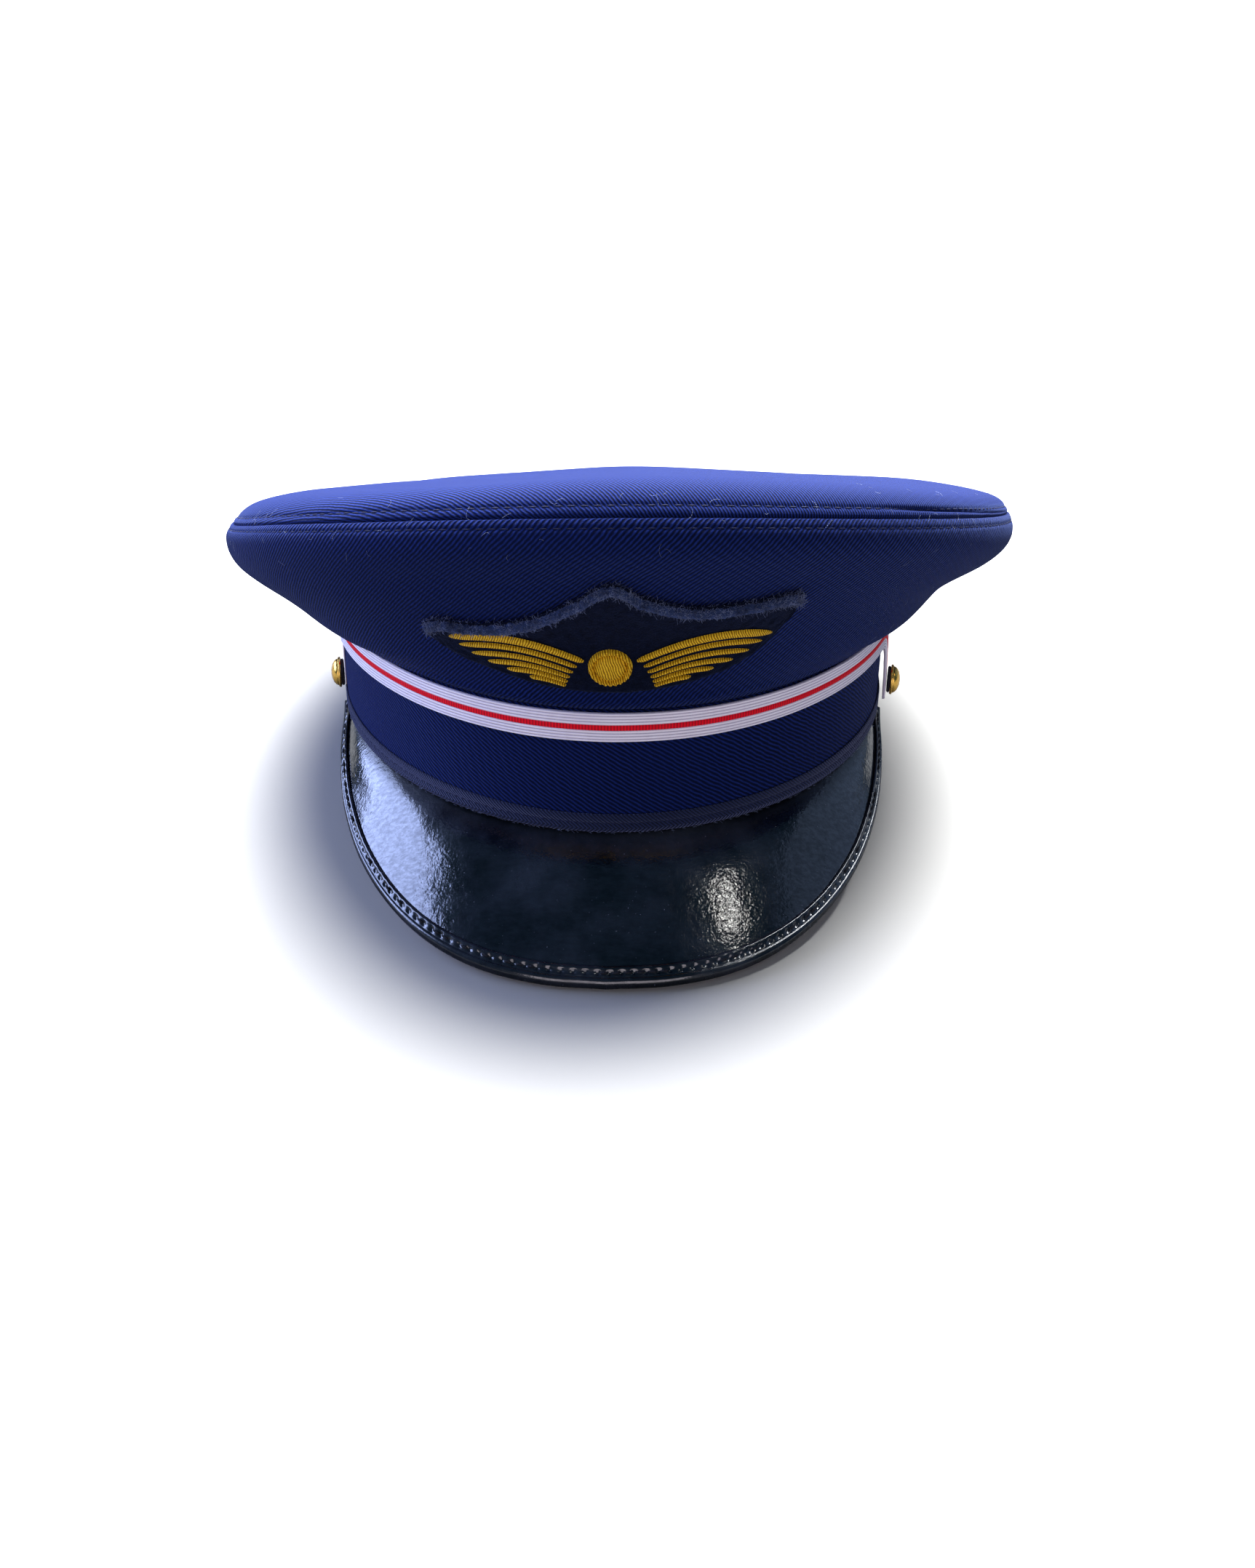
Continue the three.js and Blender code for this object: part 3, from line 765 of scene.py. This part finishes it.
def strap_point(row, spot):
    """Point on the section of the braid; spot is [how far across, 1 on its face or 0 behind]."""
    across, face = spot
    point, turn = strap_path(row)
    ahead = (strap_path(row + 0.02)[0] - strap_path(row - 0.02)[0]).normalized()
    out = band_normal(turn)
    up = out.cross(ahead).normalized()
    pressed = 1 - 0.6 * min(max(-row - 6, 0), 1)
    if abs(across) < STRIPE / 2:
        rib = 1.5 * math.cos(PI * across / STRIPE) ** 0.5
    else:
        beside = (abs(across) - STRIPE / 2) / (STRAP_WIDTH / 2 - STRIPE / 2)
        rib = abs(math.sin(PI * SIDE_RIBS * beside)) ** 0.6
    edge = min(1, (STRAP_WIDTH / 2 - abs(across)) / 0.35)
    rise = STRAP_THICKNESS - 0.24 + 0.22 * rib - 0.35 * (1 - edge) ** 2
    return point + up * across + out * (rise if face else 0.2) * pressed


def braid(name):
    material, sums = new_material(
        name, {"Roughness": 0.7, "Specular IOR Level": 0.15}
    )
    place = sums.cloth_place()
    u, v, _ = sums.split(place)
    across = sums.math("SUBTRACT", v, STRAP_WIDTH / 2 * MM)
    beside = sums.math("SUBTRACT", sums.math("ABSOLUTE", across), STRIPE / 2 * MM)
    spacing = (STRAP_WIDTH - STRIPE) / 2 / SIDE_RIBS * MM
    ribs = sums.math("SUBTRACT", 1.0, sums.wave(sums.math("DIVIDE", beside, spacing)))
    picks = sums.wave(sums.math("DIVIDE", u, PICK))
    fibre = sums.grain(place, 3000, 3, 0.7)
    height = sums.times(fibre, 0.4, sums.times(ribs, 0.5))
    soil = sums.grain(place, 60, 3)
    # The white is painted darker in the grooves between the ribs as painted shade, and whitest on
    # the ribs as painted highlight.
    lit = sums.times(fibre, 0.25, sums.times(ribs, 0.75))
    white = sums.colours(
        lit, [(0.1, (0.42, 0.37, 0.47)), (0.35, (0.80, 0.72, 0.84)), (0.8, (0.98, 0.92, 1.0))]
    )
    white = sums.mix(sums.between(soil, 0.45, 0.75, 0.0, 0.25), white, (0.58, 0.52, 0.68))
    # The red stripe is painted darker between its picks as painted shade and brighter on them as
    # painted highlight.
    red = sums.colours(picks, [(0.0, (0.5, 0.0, 0.01)), (1.0, (1.0, 0.003, 0.02))])
    stripe = sums.between(beside, -0.00006, 0.00003, 1.0, 0.0)
    sums.feed(sums.mix(stripe, white, red), "Base Color")
    sums.bump(height, 0.00014)
    return material


def chin_strap():
    end = len(STRAP) - 1
    half = STRAP_WIDTH / 2
    face = [(across, 1) for across in steps(72, -half, half)]
    behind = [(across, 0) for across in steps(4, half, -half)]
    section = [*face, *behind, face[0]]
    bm = cloth_grid(
        steps(300, -end + 0.55, end), section, strap_point,
        heights=[across + half for across, _ in section],
    )
    return finished(turned_out(bm, fill=True), "chin_strap", braid("ribbed_braid"))


on_cap(chin_strap(), "strap")

# Strap buttons: domed gilt shells with a rolled rim, each held by its shank through the strap
# with a dark felt washer behind it.
BUTTON_TURN = math.radians(77)
BUTTON_HEIGHT = 7.7
BUTTON_RADIUS = 4.7
BUTTON_RISE = 3.0
WASHER_RADIUS = 4.1
WASHER_THICKNESS = 0.9
BUTTON_SEAT = STRAP[10].lift + STRAP_THICKNESS + 0.3


def seat_of(side):
    """How far the strap's face stands off the band under a button; the left one is pulled in."""
    return BUTTON_SEAT - (STRAP[10].lift - LEFT_LIFT + STRAP_THICKNESS * 0.6 if side < 0 else 0)


def turned_piece(profile, side, out):
    """A round piece spun from [radius, rise] corners, standing on the band at a button."""
    bm = bmesh.new()
    corners = [bm.verts.new((radius * MM, 0, rise * MM)) for radius, rise in profile]
    edges = [bm.edges.new(pair) for pair in zip(corners, corners[1:])]
    bmesh.ops.spin(
        bm, geom=corners + edges, cent=(0, 0, 0), axis=(0, 0, 1),
        angle=2 * PI, steps=48, use_merge=True,
    )
    bmesh.ops.remove_doubles(bm, verts=bm.verts, dist=0.005 * MM)
    turned_out(bm)
    turn = BUTTON_TURN * side
    base = band_point(turn, 0, out)
    base.z = BUTTON_HEIGHT
    direction = TIPPED.to_3x3() @ band_normal(turn)
    stand = direction.to_track_quat("Z", "Y").to_matrix().to_4x4()
    bm.transform(Matrix.Translation(TIPPED @ base * MM) @ stand)
    return bm


def button_profile():
    dome = [
        ((BUTTON_RADIUS - 0.55) * math.cos(angle), 0.8 + (BUTTON_RISE - 0.8) * math.sin(angle))
        for angle in steps(14, 0, PI / 2)
    ]
    rim = [
        (BUTTON_RADIUS - 0.4 + 0.4 * math.cos(angle), 0.45 + 0.4 * math.sin(angle))
        for angle in steps(8, -PI / 2, 0.8 * PI)
    ]
    return [(0, 0.05), *rim, *dome[:-1], (0, BUTTON_RISE)]


def gilt(name):
    """Gilt brass, polished on the dome and a little worn to a paler gold in spots."""
    material, sums = new_material(name, {"Metallic": 1})
    place = sums.object_place()
    spots = sums.grain(place, 600, 4, 0.6)
    colour = sums.colours(spots, [(0.3, (0.80, 0.44, 0.07)), (0.7, (1.0, 0.64, 0.16))])
    sums.feed(colour, "Base Color")
    sums.feed(sums.between(spots, 0.3, 0.7, 0.18, 0.38), "Roughness")
    sums.bump(sums.grain(place, 1500, 2), 0.00003)
    return material


def washer_felt(name):
    material, sums = new_material(name, {"Roughness": 0.95})
    fibre = sums.grain(sums.object_place(), 2200, 4, 0.7)
    colour = sums.colours(fibre, [(0.3, (0.003, 0.003, 0.006)), (0.7, (0.012, 0.012, 0.024))])
    sums.feed(colour, "Base Color")
    sums.bump(fibre, 0.0002)
    return material


GILT = gilt("gilt_brass")
WASHER_FELT = washer_felt("washer_felt")
WASHER = [
    (0, 0), (WASHER_RADIUS - 0.3, 0), (WASHER_RADIUS, 0.25),
    (WASHER_RADIUS, WASHER_THICKNESS - 0.25), (WASHER_RADIUS - 0.3, WASHER_THICKNESS),
    (0, WASHER_THICKNESS),
]
for which, hand in (("left", -1), ("right", 1)):
    washer = finished(turned_piece(WASHER, hand, seat_of(hand)), "washer_" + which, WASHER_FELT)
    on_cap(washer, "button_washer_" + which)
    shell = turned_piece(button_profile(), hand, seat_of(hand) + WASHER_THICKNESS - 0.02)
    on_cap(finished(shell, "gilt_button_" + which, GILT), "button_" + which)

# Peak: a curved sheet of board covered in black patent, sewn in under the band. A patent
# binding is rolled round its rim and stitched through near its inner edge.
Rib = namedtuple("Rib", "turn across ahead z")
PEAK = [
    Rib(0, 0, 138, -32.1), Rib(9, 16.4, 136.7, -31.7), Rib(18, 32.1, 132.2, -30.5),
    Rib(27, 45.7, 123.9, -28.4), Rib(36, 57.6, 111.5, -25.3), Rib(45, 67.8, 95.2, -21),
    Rib(54, 75, 76.9, -16.3), Rib(62, 79, 60.6, -12), Rib(69, 81.4, 45.5, -8.1),
    Rib(74, 82.9, 31.5, -4.7), Rib(77, 83.8, 25.4, -3),
]
PEAK_END = len(PEAK) - 1
PEAK_SHEET = 2
PEAK_BULGE = 1.9
ROOT_BOW = 0.5
PEAK_DEPTH = 50
WORN = 13
BINDING_WIDTH = 5.7


@lru_cache(maxsize=None)
def peak_rib(row):
    """Where a rib of the peak leaves the band and where it ends at the rim."""
    mirror = 1 if row > 0 else -1
    at = between(PEAK, abs(row))
    root = band_point(math.radians(at.turn) * mirror, 0, -1.2)
    root.z -= 0.3
    return root, Vector((at.across * mirror, -at.ahead, at.z))


@lru_cache(maxsize=None)
def peak_frame(row):
    """Root, rim, length, bulge and the directions out along a rib and up off the sheet."""
    root, rim = peak_rib(row)
    chord = rim - root
    length = chord.length
    along_rim = peak_rib(row + 0.05)[1] - peak_rib(row - 0.05)[1]
    up = along_rim.cross(chord).normalized()
    if up.z < 0:
        up = -up
    bulge = PEAK_BULGE * min(1, (length / 36) ** 2)
    return root, rim, length, bulge, chord / length, up


def peak_point(row, part, depth=0.0):
    root, _, length, bulge, out, up = peak_frame(round(row, 6))
    reach = (length - min(1.5, length / 3)) * part
    along = PI * reach / length
    near_root = (1 + math.cos(along)) / 2
    bow = bulge * (math.sin(along) + ROOT_BOW * math.sin(2 * along) * near_root)
    return root + out * reach + up * (bow - depth)


def patent(name, peel, rough_low, rough_high, coat, relief, dull_root=False):
    """Black patent: a clear coat with a fine crinkle and slow waves, dusty and smudged in places.

    A dull_root is for the sheet, whose gloss is worn off along the hem of the band."""
    material, sums = new_material(
        name, {"Specular IOR Level": 0.45, "Coat IOR": 1.7, "Coat Roughness": 0.06}
    )
    place = sums.object_place()
    smudge = sums.grain(place, 38, 5, 0.65)
    haze = sums.between(smudge, 0.4, 0.72, 0.0, 1.0)
    dust = sums.between(sums.grain(place, 1100, 3, 0.7), 0.70, 0.74)
    colour = sums.mix(haze, (0.0008, 0.0018, 0.0035), (0.017, 0.022, 0.034))
    colour = sums.mix(sums.times(dust, 0.6), colour, (0.25, 0.28, 0.36))
    sums.feed(colour, "Base Color")
    rough = sums.between(smudge, 0.35, 0.7, rough_low, rough_high)
    x, y, z = sums.split(place)
    drawn = sums.tree.nodes.new("ShaderNodeCombineXYZ")
    for socket, value in zip(drawn.inputs, (sums.times(x, 0.35), y, z)):
        sums.tree.links.new(value, socket)
    crinkle = sums.grain(drawn.outputs[0], 900, 4, 0.7)
    gloss = sums.between(crinkle, 0.4, 0.62, 0.45 * coat, coat)
    if dull_root:
        worn = sums.between(sums.split(sums.cloth_place())[1], 0.0, WORN * MM, 1.0, 0.0)
        gloss = sums.times(gloss, sums.times(worn, -0.85, 1.0))
        rough = sums.times(worn, 0.25, rough)
    sums.feed(gloss, "Coat Weight")
    sums.feed(rough, "Roughness")
    waves = sums.times(sums.grain(place, 60, 2), 0.9)
    waves = sums.times(sums.grain(place, peel / 2.5, 3, 0.6), 0.30, waves)
    height = sums.times(sums.grain(place, peel, 2), 0.14, waves)
    sums.bump(height, relief)
    sums.feed(sums.surface.inputs["Normal"].links[0].from_socket, "Coat Normal")
    return material


def peak_sheet():
    parts = steps(36, 1, 0)
    bm = cloth_grid(
        steps(200, -PEAK_END, PEAK_END), parts, peak_point, weld=False,
        heights=[part * PEAK_DEPTH for part in parts],
    )
    material = patent("patent_peak", 1300, 0.12, 0.3, 1.0, 0.0003, dull_root=True)
    return finished(bm, "peak_sheet", material, PEAK_SHEET)


def binding_frame(row):
    """At the rim: the rim point, how narrow the binding is, and the directions out and up."""
    _, rim, length, bulge, out, up = peak_frame(row)
    dip = PI * bulge / length
    rim_out = (out - up * dip).normalized()
    rim_up = (up + out * dip).normalized()
    return rim, min(1, length * 0.75 / BINDING_WIDTH), rim_out, rim_up


RIM_ROWS = steps(1600, -PEAK_END, PEAK_END)
STITCH_SPACING = 3.1
STITCH_LINE = 3.9
STITCH_RISE = 0.8


def rim_lengths():
    lengths = [0.0]
    for before, after in zip(RIM_ROWS, RIM_ROWS[1:]):
        lengths.append(lengths[-1] + (peak_rib(after)[1] - peak_rib(before)[1]).length)
    return lengths


RIM_LENGTHS = rim_lengths()


def along_rim(row):
    """Distance along the rim, in stitches, from the left end."""
    at = (row / PEAK_END + 1) / 2 * (len(RIM_ROWS) - 1)
    i = min(int(at), len(RIM_ROWS) - 2)
    return (RIM_LENGTHS[i] + (RIM_LENGTHS[i + 1] - RIM_LENGTHS[i]) * (at - i)) / STITCH_SPACING


def binding_point(row, inward, rise):
    rim, narrow, out, up = binding_frame(round(row, 6))
    if rise > 0.5:
        hole = (0.5 + 0.5 * math.cos(2 * PI * along_rim(row))) ** 2
        rise -= (0.1 + 0.4 * hole) * bell((inward - STITCH_LINE) / 0.7)
    return rim - out * inward * narrow + up * rise


def bead_section():
    """Section of the binding as [in from the rim, up from the sheet], closed."""
    under = -PEAK_SHEET
    radius = 1.9
    middle = under / 2
    bead = [
        (radius + 0.1 - radius * math.sin(a), middle + (radius + 0.15) * math.cos(a))
        for a in steps(16, -0.1 * PI, 1.1 * PI)
    ]
    return [
        (BINDING_WIDTH, 0.3), (BINDING_WIDTH, 0.42), (BINDING_WIDTH - 0.3, 0.68),
        *[(inward, 0.85) for inward in steps(8, 5.0, 2.95)], (2.75, 0.75), *bead,
        (2.9, under - 0.8), (BINDING_WIDTH - 0.25, under - 1.0),
        (BINDING_WIDTH, under - 0.7), (BINDING_WIDTH, under - 0.3), (1.2, under - 0.3), (1.2, 0.3),
        (BINDING_WIDTH, 0.3),
    ]


def peak_binding():
    section = bead_section()
    bm = cloth_grid(
        steps(900, -PEAK_END, PEAK_END), range(len(section)),
        lambda row, index: binding_point(row, *section[index]),
    )
    material = patent("patent_binding", 1200, 0.18, 0.4, 0.85, 0.00012)
    return finished(turned_out(bm, fill=True), "rolled_binding", material)


def binding_stitches():
    bm = bmesh.new()
    spots = {}
    for row in RIM_ROWS:
        spots.setdefault(int(along_rim(row) * 20), row)
    for k in range(1, int(along_rim(PEAK_END)) - 1):
        first, last = spots.get(20 * k + 3), spots.get(20 * k + 17)
        if first is None or last is None:
            continue
        _, narrow, out, up = binding_frame(round((first + last) / 2, 6))
        offset = up * STITCH_RISE - out * STITCH_LINE * narrow
        start, end = (binding_frame(round(row, 6))[0] + offset for row in (first, last))
        sewn(bm, start, end, up, 0.75)
    return bm


BLACK_THREAD = thread("black_thread", (0.003, 0.003, 0.005), (0.02, 0.022, 0.03))
on_cap(peak_sheet(), "peak")
on_cap(peak_binding(), "peak_binding")
on_cap(finished(binding_stitches(), "binding_stitches", BLACK_THREAD))

# Badge: a thick navy felt patch sewn to the front of the crown, with a pair of open wings and
# a round boss embroidered on it in gold thread over padding. Its heights are in crown rings.
Edge = namedtuple("Edge", "turn lower upper")
PATCH = [
    Edge(-25, 2.1, 2.34), Edge(-22, 1.56, 2.44), Edge(-17, 1.18, 2.36), Edge(-10, 0.82, 2.5),
    Edge(-4, 0.68, 2.9), Edge(0, 0.66, 3.26), Edge(4, 0.68, 2.94), Edge(10, 0.84, 2.72),
    Edge(17, 1.2, 2.8), Edge(21.5, 1.76, 2.96), Edge(23.4, 2.5, 2.96),
]
FELT = 2.4
PATCH_CLEAR = 0.3
LOOSE_FIBRES = 2600


def felt(name, dark, light, bloom):
    """Wool felt: matted fibres in small tufts; bloom is how far loose fibre lightens its edges."""
    material, sums = new_material(name, {
        "Roughness": 0.95, "Sheen Weight": bloom, "Sheen Roughness": 0.4,
        "Sheen Tint": (0.3, 0.42, 1, 1), "Specular IOR Level": 0.08,
    })
    place = sums.object_place()
    fibre = sums.grain(place, 1500, 5, 0.75)
    tuft = sums.grain(place, 420, 3, 0.6)
    height = sums.times(tuft, 0.8, fibre)
    shade = sums.colours(sums.between(height, 0.6, 1.2), [(0.0, dark), (1.0, light)])
    sums.feed(shade, "Base Color")
    sums.bump(height, 0.0004)
    return material


def patch_point(row, level):
    """Point on the face of the patch; level runs from 0 at its lower edge to 1 at the upper."""
    at = between(PATCH, row)
    turn = math.radians(at.turn)
    ring = at.lower + (at.upper - at.lower) * level
    height = (at.upper - at.lower) * 14
    from_tip = min(row, len(PATCH) - 1 - row) * 8
    inside = min(1, (1 - level) * height / 1.2, level * height / 1.2, from_tip / 1.5)
    roll = math.sqrt(max(inside * (2 - inside), 0))
    lumps = 0.25 * noise.noise(Vector((row * 5, level * 9, 5)))
    return crown_point(ring, turn, PATCH_CLEAR + FELT * (0.45 + 0.3 * roll) + lumps)


def roll_point(row, angle):
    """Point on the soft roll along the patch's upper edge."""
    at = between(PATCH, row)
    turn = math.radians(at.turn)
    from_tip = min(row, len(PATCH) - 1 - row) * 8
    full = math.sqrt(max(1 - max(1 - from_tip / 2.5, 0) ** 2, 0.0001))
    lumpy = 1 + 0.2 * noise.noise(Vector((row * 7, math.sin(angle), math.cos(angle))))
    lumpy += 0.22 * noise.noise(Vector((row * 26, 2 * math.sin(angle), 2 * math.cos(angle))))
    ring = at.upper - 0.12
    normal = crown_normal(ring, turn)
    up = (crown_surface(ring + 0.02, turn) - crown_surface(ring, turn)).normalized()
    middle = crown_surface(ring, turn) + normal * (PATCH_CLEAR + 1.5)
    return middle + (up * math.sin(angle) * 1.6 + normal * math.cos(angle) * 1.3) * full * lumpy


def patch_roll():
    bm = cloth_grid(steps(420, 0, len(PATCH) - 1), steps(24, 0, 2 * PI), roll_point)
    nap = felt("felt_nap", (0.006, 0.011, 0.032), (0.035, 0.055, 0.14), 0.35)
    return finished(turned_out(bm), "felt_roll", nap)


def hair_shape():
    """A three sided hair of unit radius and length along +Z, from the origin."""
    bm = bmesh.new()
    bmesh.ops.create_cone(
        bm, cap_ends=True, segments=3, radius1=1, radius2=0.6, depth=1,
        matrix=Matrix.Translation((0, 0, 0.5)),
    )
    return mesh_of(bm, "hair")


HAIR = hair_shape()


def curled_hair(bm, start, ahead, bend, length, thickness, parts):
    """A hair of a few straight parts, each turned a little further towards bend."""
    part = length / parts
    for _ in range(parts):
        turned = ahead.to_track_quat("Z", "Y").to_matrix().to_4x4()
        sized = Matrix.Diagonal((thickness / 2 * MM, thickness / 2 * MM, part * 1.05 * MM, 1))
        stand = Matrix.Translation(TIPPED @ start * MM) @ Matrix.Rotation(-TILT, 4, "X") @ turned
        stamped(bm, HAIR, stand @ sized)
        start = start + ahead * part
        ahead = (ahead + bend).normalized()


def random_vector(chance, spread):
    """A vector with each of its three parts drawn by chance."""
    return Vector([chance.gauss(0, spread) for _ in range(3)])


def patch_fuzz():
    """Loose fibres standing up from the roll."""
    chance = random.Random(4)
    bm = bmesh.new()
    for _ in range(LOOSE_FIBRES):
        row = chance.uniform(0.15, len(PATCH) - 1.15)
        angle = chance.gauss(0.7, 0.9)
        start = roll_point(row, angle)
        out = (start - roll_point(row, angle + PI)).normalized()
        ahead = (out + random_vector(chance, 1.3)).normalized()
        bend = random_vector(chance, 0.7)
        curled_hair(bm, start, ahead, bend, chance.uniform(0.5, 1.8), 0.09, 2)
    return bm


def badge_patch():
    bm = cloth_grid(
        steps(200, 0, len(PATCH) - 1), [0.5 - 0.5 * math.cos(PI * t) for t in steps(48, 0, 1)],
        patch_point, weld=False,
    )
    # The face of the patch is the same felt as its roll, coloured near black as painted shade.
    face = felt("badge_felt", (0.0006, 0.001, 0.004), (0.003, 0.006, 0.022), 0.1)
    return finished(bm, "felt_patch", face, FELT * 0.4)


def gold(name, straight=False):
    """Satin stitch in gold thread: parallel threads with a dull lustre, each painted bright on its
    ridge as painted highlight and dark brown in the gaps as painted shade.
    """
    material, sums = new_material(name, {
        "Roughness": 0.5, "Specular IOR Level": 0.3, "Specular Tint": (1, 0.7, 0.2, 1),
    })
    place = sums.object_place() if straight else sums.cloth_place()
    u, v, w = sums.split(place)
    along = sums.times(w, 0.3, u) if straight else v
    wander = sums.times(sums.grain(place, 500, 2), 1.3)
    threads = sums.math("ADD", sums.math("DIVIDE", along, 0.00062), wander)
    ridge = sums.wave(threads)
    each = sums.grain(sums.math("FLOOR", threads), 3, 0)
    speck = sums.grain(place, 1800, 2)
    lit = sums.times(each, 0.35, sums.times(ridge, 0.5))
    lit = sums.times(speck, 0.3, lit)
    # Dark brown in the gaps between threads is painted shade, and bright gold on their ridges is
    # painted highlight.
    colour = sums.colours(
        lit, [(0.25, (0.10, 0.028, 0.001)), (0.5, (0.52, 0.26, 0.006)), (0.85, (0.98, 0.62, 0.04))]
    )
    sums.feed(colour, "Base Color")
    sums.bump(lit, 0.0002)
    return material


GOLD = gold("gold_thread")
Feather = namedtuple("Feather", "root_turn root_ring tip_turn tip_ring arch width")
WING = [
    Feather(3.6, 1.58, 21.4, 2.12, 0.24, 2.3),
    Feather(4.6, 1.42, 20.6, 1.90, 0.20, 1.3),
    Feather(5.2, 1.28, 19.2, 1.69, 0.16, 1.2),
    Feather(5.7, 1.15, 17.2, 1.49, 0.12, 1.15),
    Feather(6.1, 1.03, 14.7, 1.31, 0.08, 1.1),
    Feather(6.4, 0.92, 11.6, 1.13, 0.04, 1.0),
]
PAD_RISE = 0.9


def feather_bm(feather, side, lift):
    """One feather: a padded leaf of satin stitch, its threads laid across it."""

    def middle(part):
        turn = feather.root_turn + (feather.tip_turn - feather.root_turn) * part
        ring = feather.root_ring + (feather.tip_ring - feather.root_ring) * part
        return ring + feather.arch * math.sin(PI * part), math.radians(turn) * side

    def place(across, part):
        ring, turn = middle(part)
        ahead = crown_surface(*middle(part + 0.01)) - crown_surface(*middle(part - 0.01))
        normal = crown_normal(ring, turn)
        sideways = normal.cross(ahead).normalized()
        broad = 0.6 + 0.4 * math.sin(PI * min(part, 0.7) / 1.4)
        tip = math.sqrt(max(1 - max((part - 0.82) / 0.18, 0) ** 1.6, 0))
        ragged = 1 + 0.07 * noise.noise(Vector((part * 60, feather.arch * 50, across)))
        tip *= math.sqrt(min(1, 0.15 + part / 0.05))
        rise = PATCH_CLEAR + FELT * 0.8 + lift + PAD_RISE * (1 - across ** 4) * tip
        half = feather.width / 2 * broad * tip * ragged
        return crown_surface(ring, turn) + normal * rise + sideways * across * half

    return cloth_grid(steps(14, -1, 1), steps(90, 0.0, 0.999), place, weld=False)


def badge_wing(side, name):
    whole = bmesh.new()
    for k, feather in enumerate(WING):
        bm = feather_bm(feather, side, 0.35 if k == 0 else 0.0)
        mesh = mesh_of(bm, "feather")
        whole.from_mesh(mesh)
        bpy.data.meshes.remove(mesh)
    return finished(turned_out(whole), name, GOLD)


def badge_boss():
    """A round boss: a dome of satin stitch inside a rope of gold thread."""
    ring, radius = 1.42, 5.4
    centre = crown_surface(ring, 0)
    normal = crown_normal(ring, 0)
    side = Vector((1, 0, 0))
    up = normal.cross(side)

    def place(angle, part):
        reach = part * radius
        dome = 2.0 * math.sqrt(max(1 - (part / 0.72) ** 2, 0))
        if part >= 0.76:
            rope = (part - 0.88) / 0.12
            twist = 0.3 * math.sin(angle * 24 + rope * 2.5)
            dome = (1.3 + twist) * math.sqrt(max(1 - rope * rope, 0))
        spot = centre + side * math.cos(angle) * reach + up * math.sin(angle) * reach
        return spot + normal * (PATCH_CLEAR + FELT + dome - 0.4)

    bm = cloth_grid(steps(240, 0, 2 * PI), steps(44, 0.001, 1), place)
    return finished(turned_out(bm), "gold_boss", gold("gold_boss_thread", straight=True))


FELT_FIBRE = thread("felt_fibre", (0.025, 0.035, 0.085), (0.24, 0.28, 0.46), 420)
on_cap(badge_patch(), "badge_patch")
on_cap(patch_roll())
on_cap(finished(patch_fuzz(), "felt_fibres", FELT_FIBRE))
for which, hand in (("left", -1), ("right", 1)):
    on_cap(badge_wing(hand, "gold_wing_" + which), "badge_wing_" + which)
on_cap(badge_boss(), "badge_boss")

# Lint: pale hairs and flecks of fibre caught on the wool, most of them near the seam and in
# the corner between the band's hem and the peak.
HAIRS = 200


def crown_lint():
    chance = random.Random(11)
    bm = bmesh.new()
    for k in range(HAIRS):
        near_seam = k % 2 == 0
        ring = SEAM + chance.gauss(0, 0.6) if near_seam else chance.uniform(0.8, 7)
        turn = chance.uniform(-PI, PI)
        normal = crown_normal(ring, turn)
        ahead = normal.cross(random_vector(chance, 1)).normalized()
        bend = normal.cross(ahead) * chance.gauss(0, 0.55) - normal * 0.05
        start = crown_point(ring, turn, chance.uniform(0.1, 0.35))
        curled_hair(bm, start, ahead, bend, chance.uniform(0.8, 3.6), 0.055, 5)
    return bm


def hem_lint():
    chance = random.Random(12)
    bm = bmesh.new()
    for _ in range(HAIRS):
        turn = math.radians(chance.uniform(-68, 68))
        start = band_point(turn, 0.05, TAPE_CLEAR + TAPE_WALL + chance.uniform(-0.1, 0.25))
        around = Vector((math.cos(turn), math.sin(turn), 0))
        stray = Vector((0, 0, chance.gauss(0.1, 0.35))) + band_normal(turn) * chance.gauss(0.1, 0.3)
        ahead = (around + stray).normalized()
        curled_hair(bm, start, ahead, stray, chance.uniform(0.3, 1.1), 0.08, 2)
    return bm


PALE_LINT = thread("pale_lint", (0.10, 0.12, 0.22), (0.28, 0.32, 0.46))
on_cap(finished(crown_lint(), "crown_lint", PALE_LINT))
on_cap(finished(hem_lint(), "hem_lint", PALE_LINT))
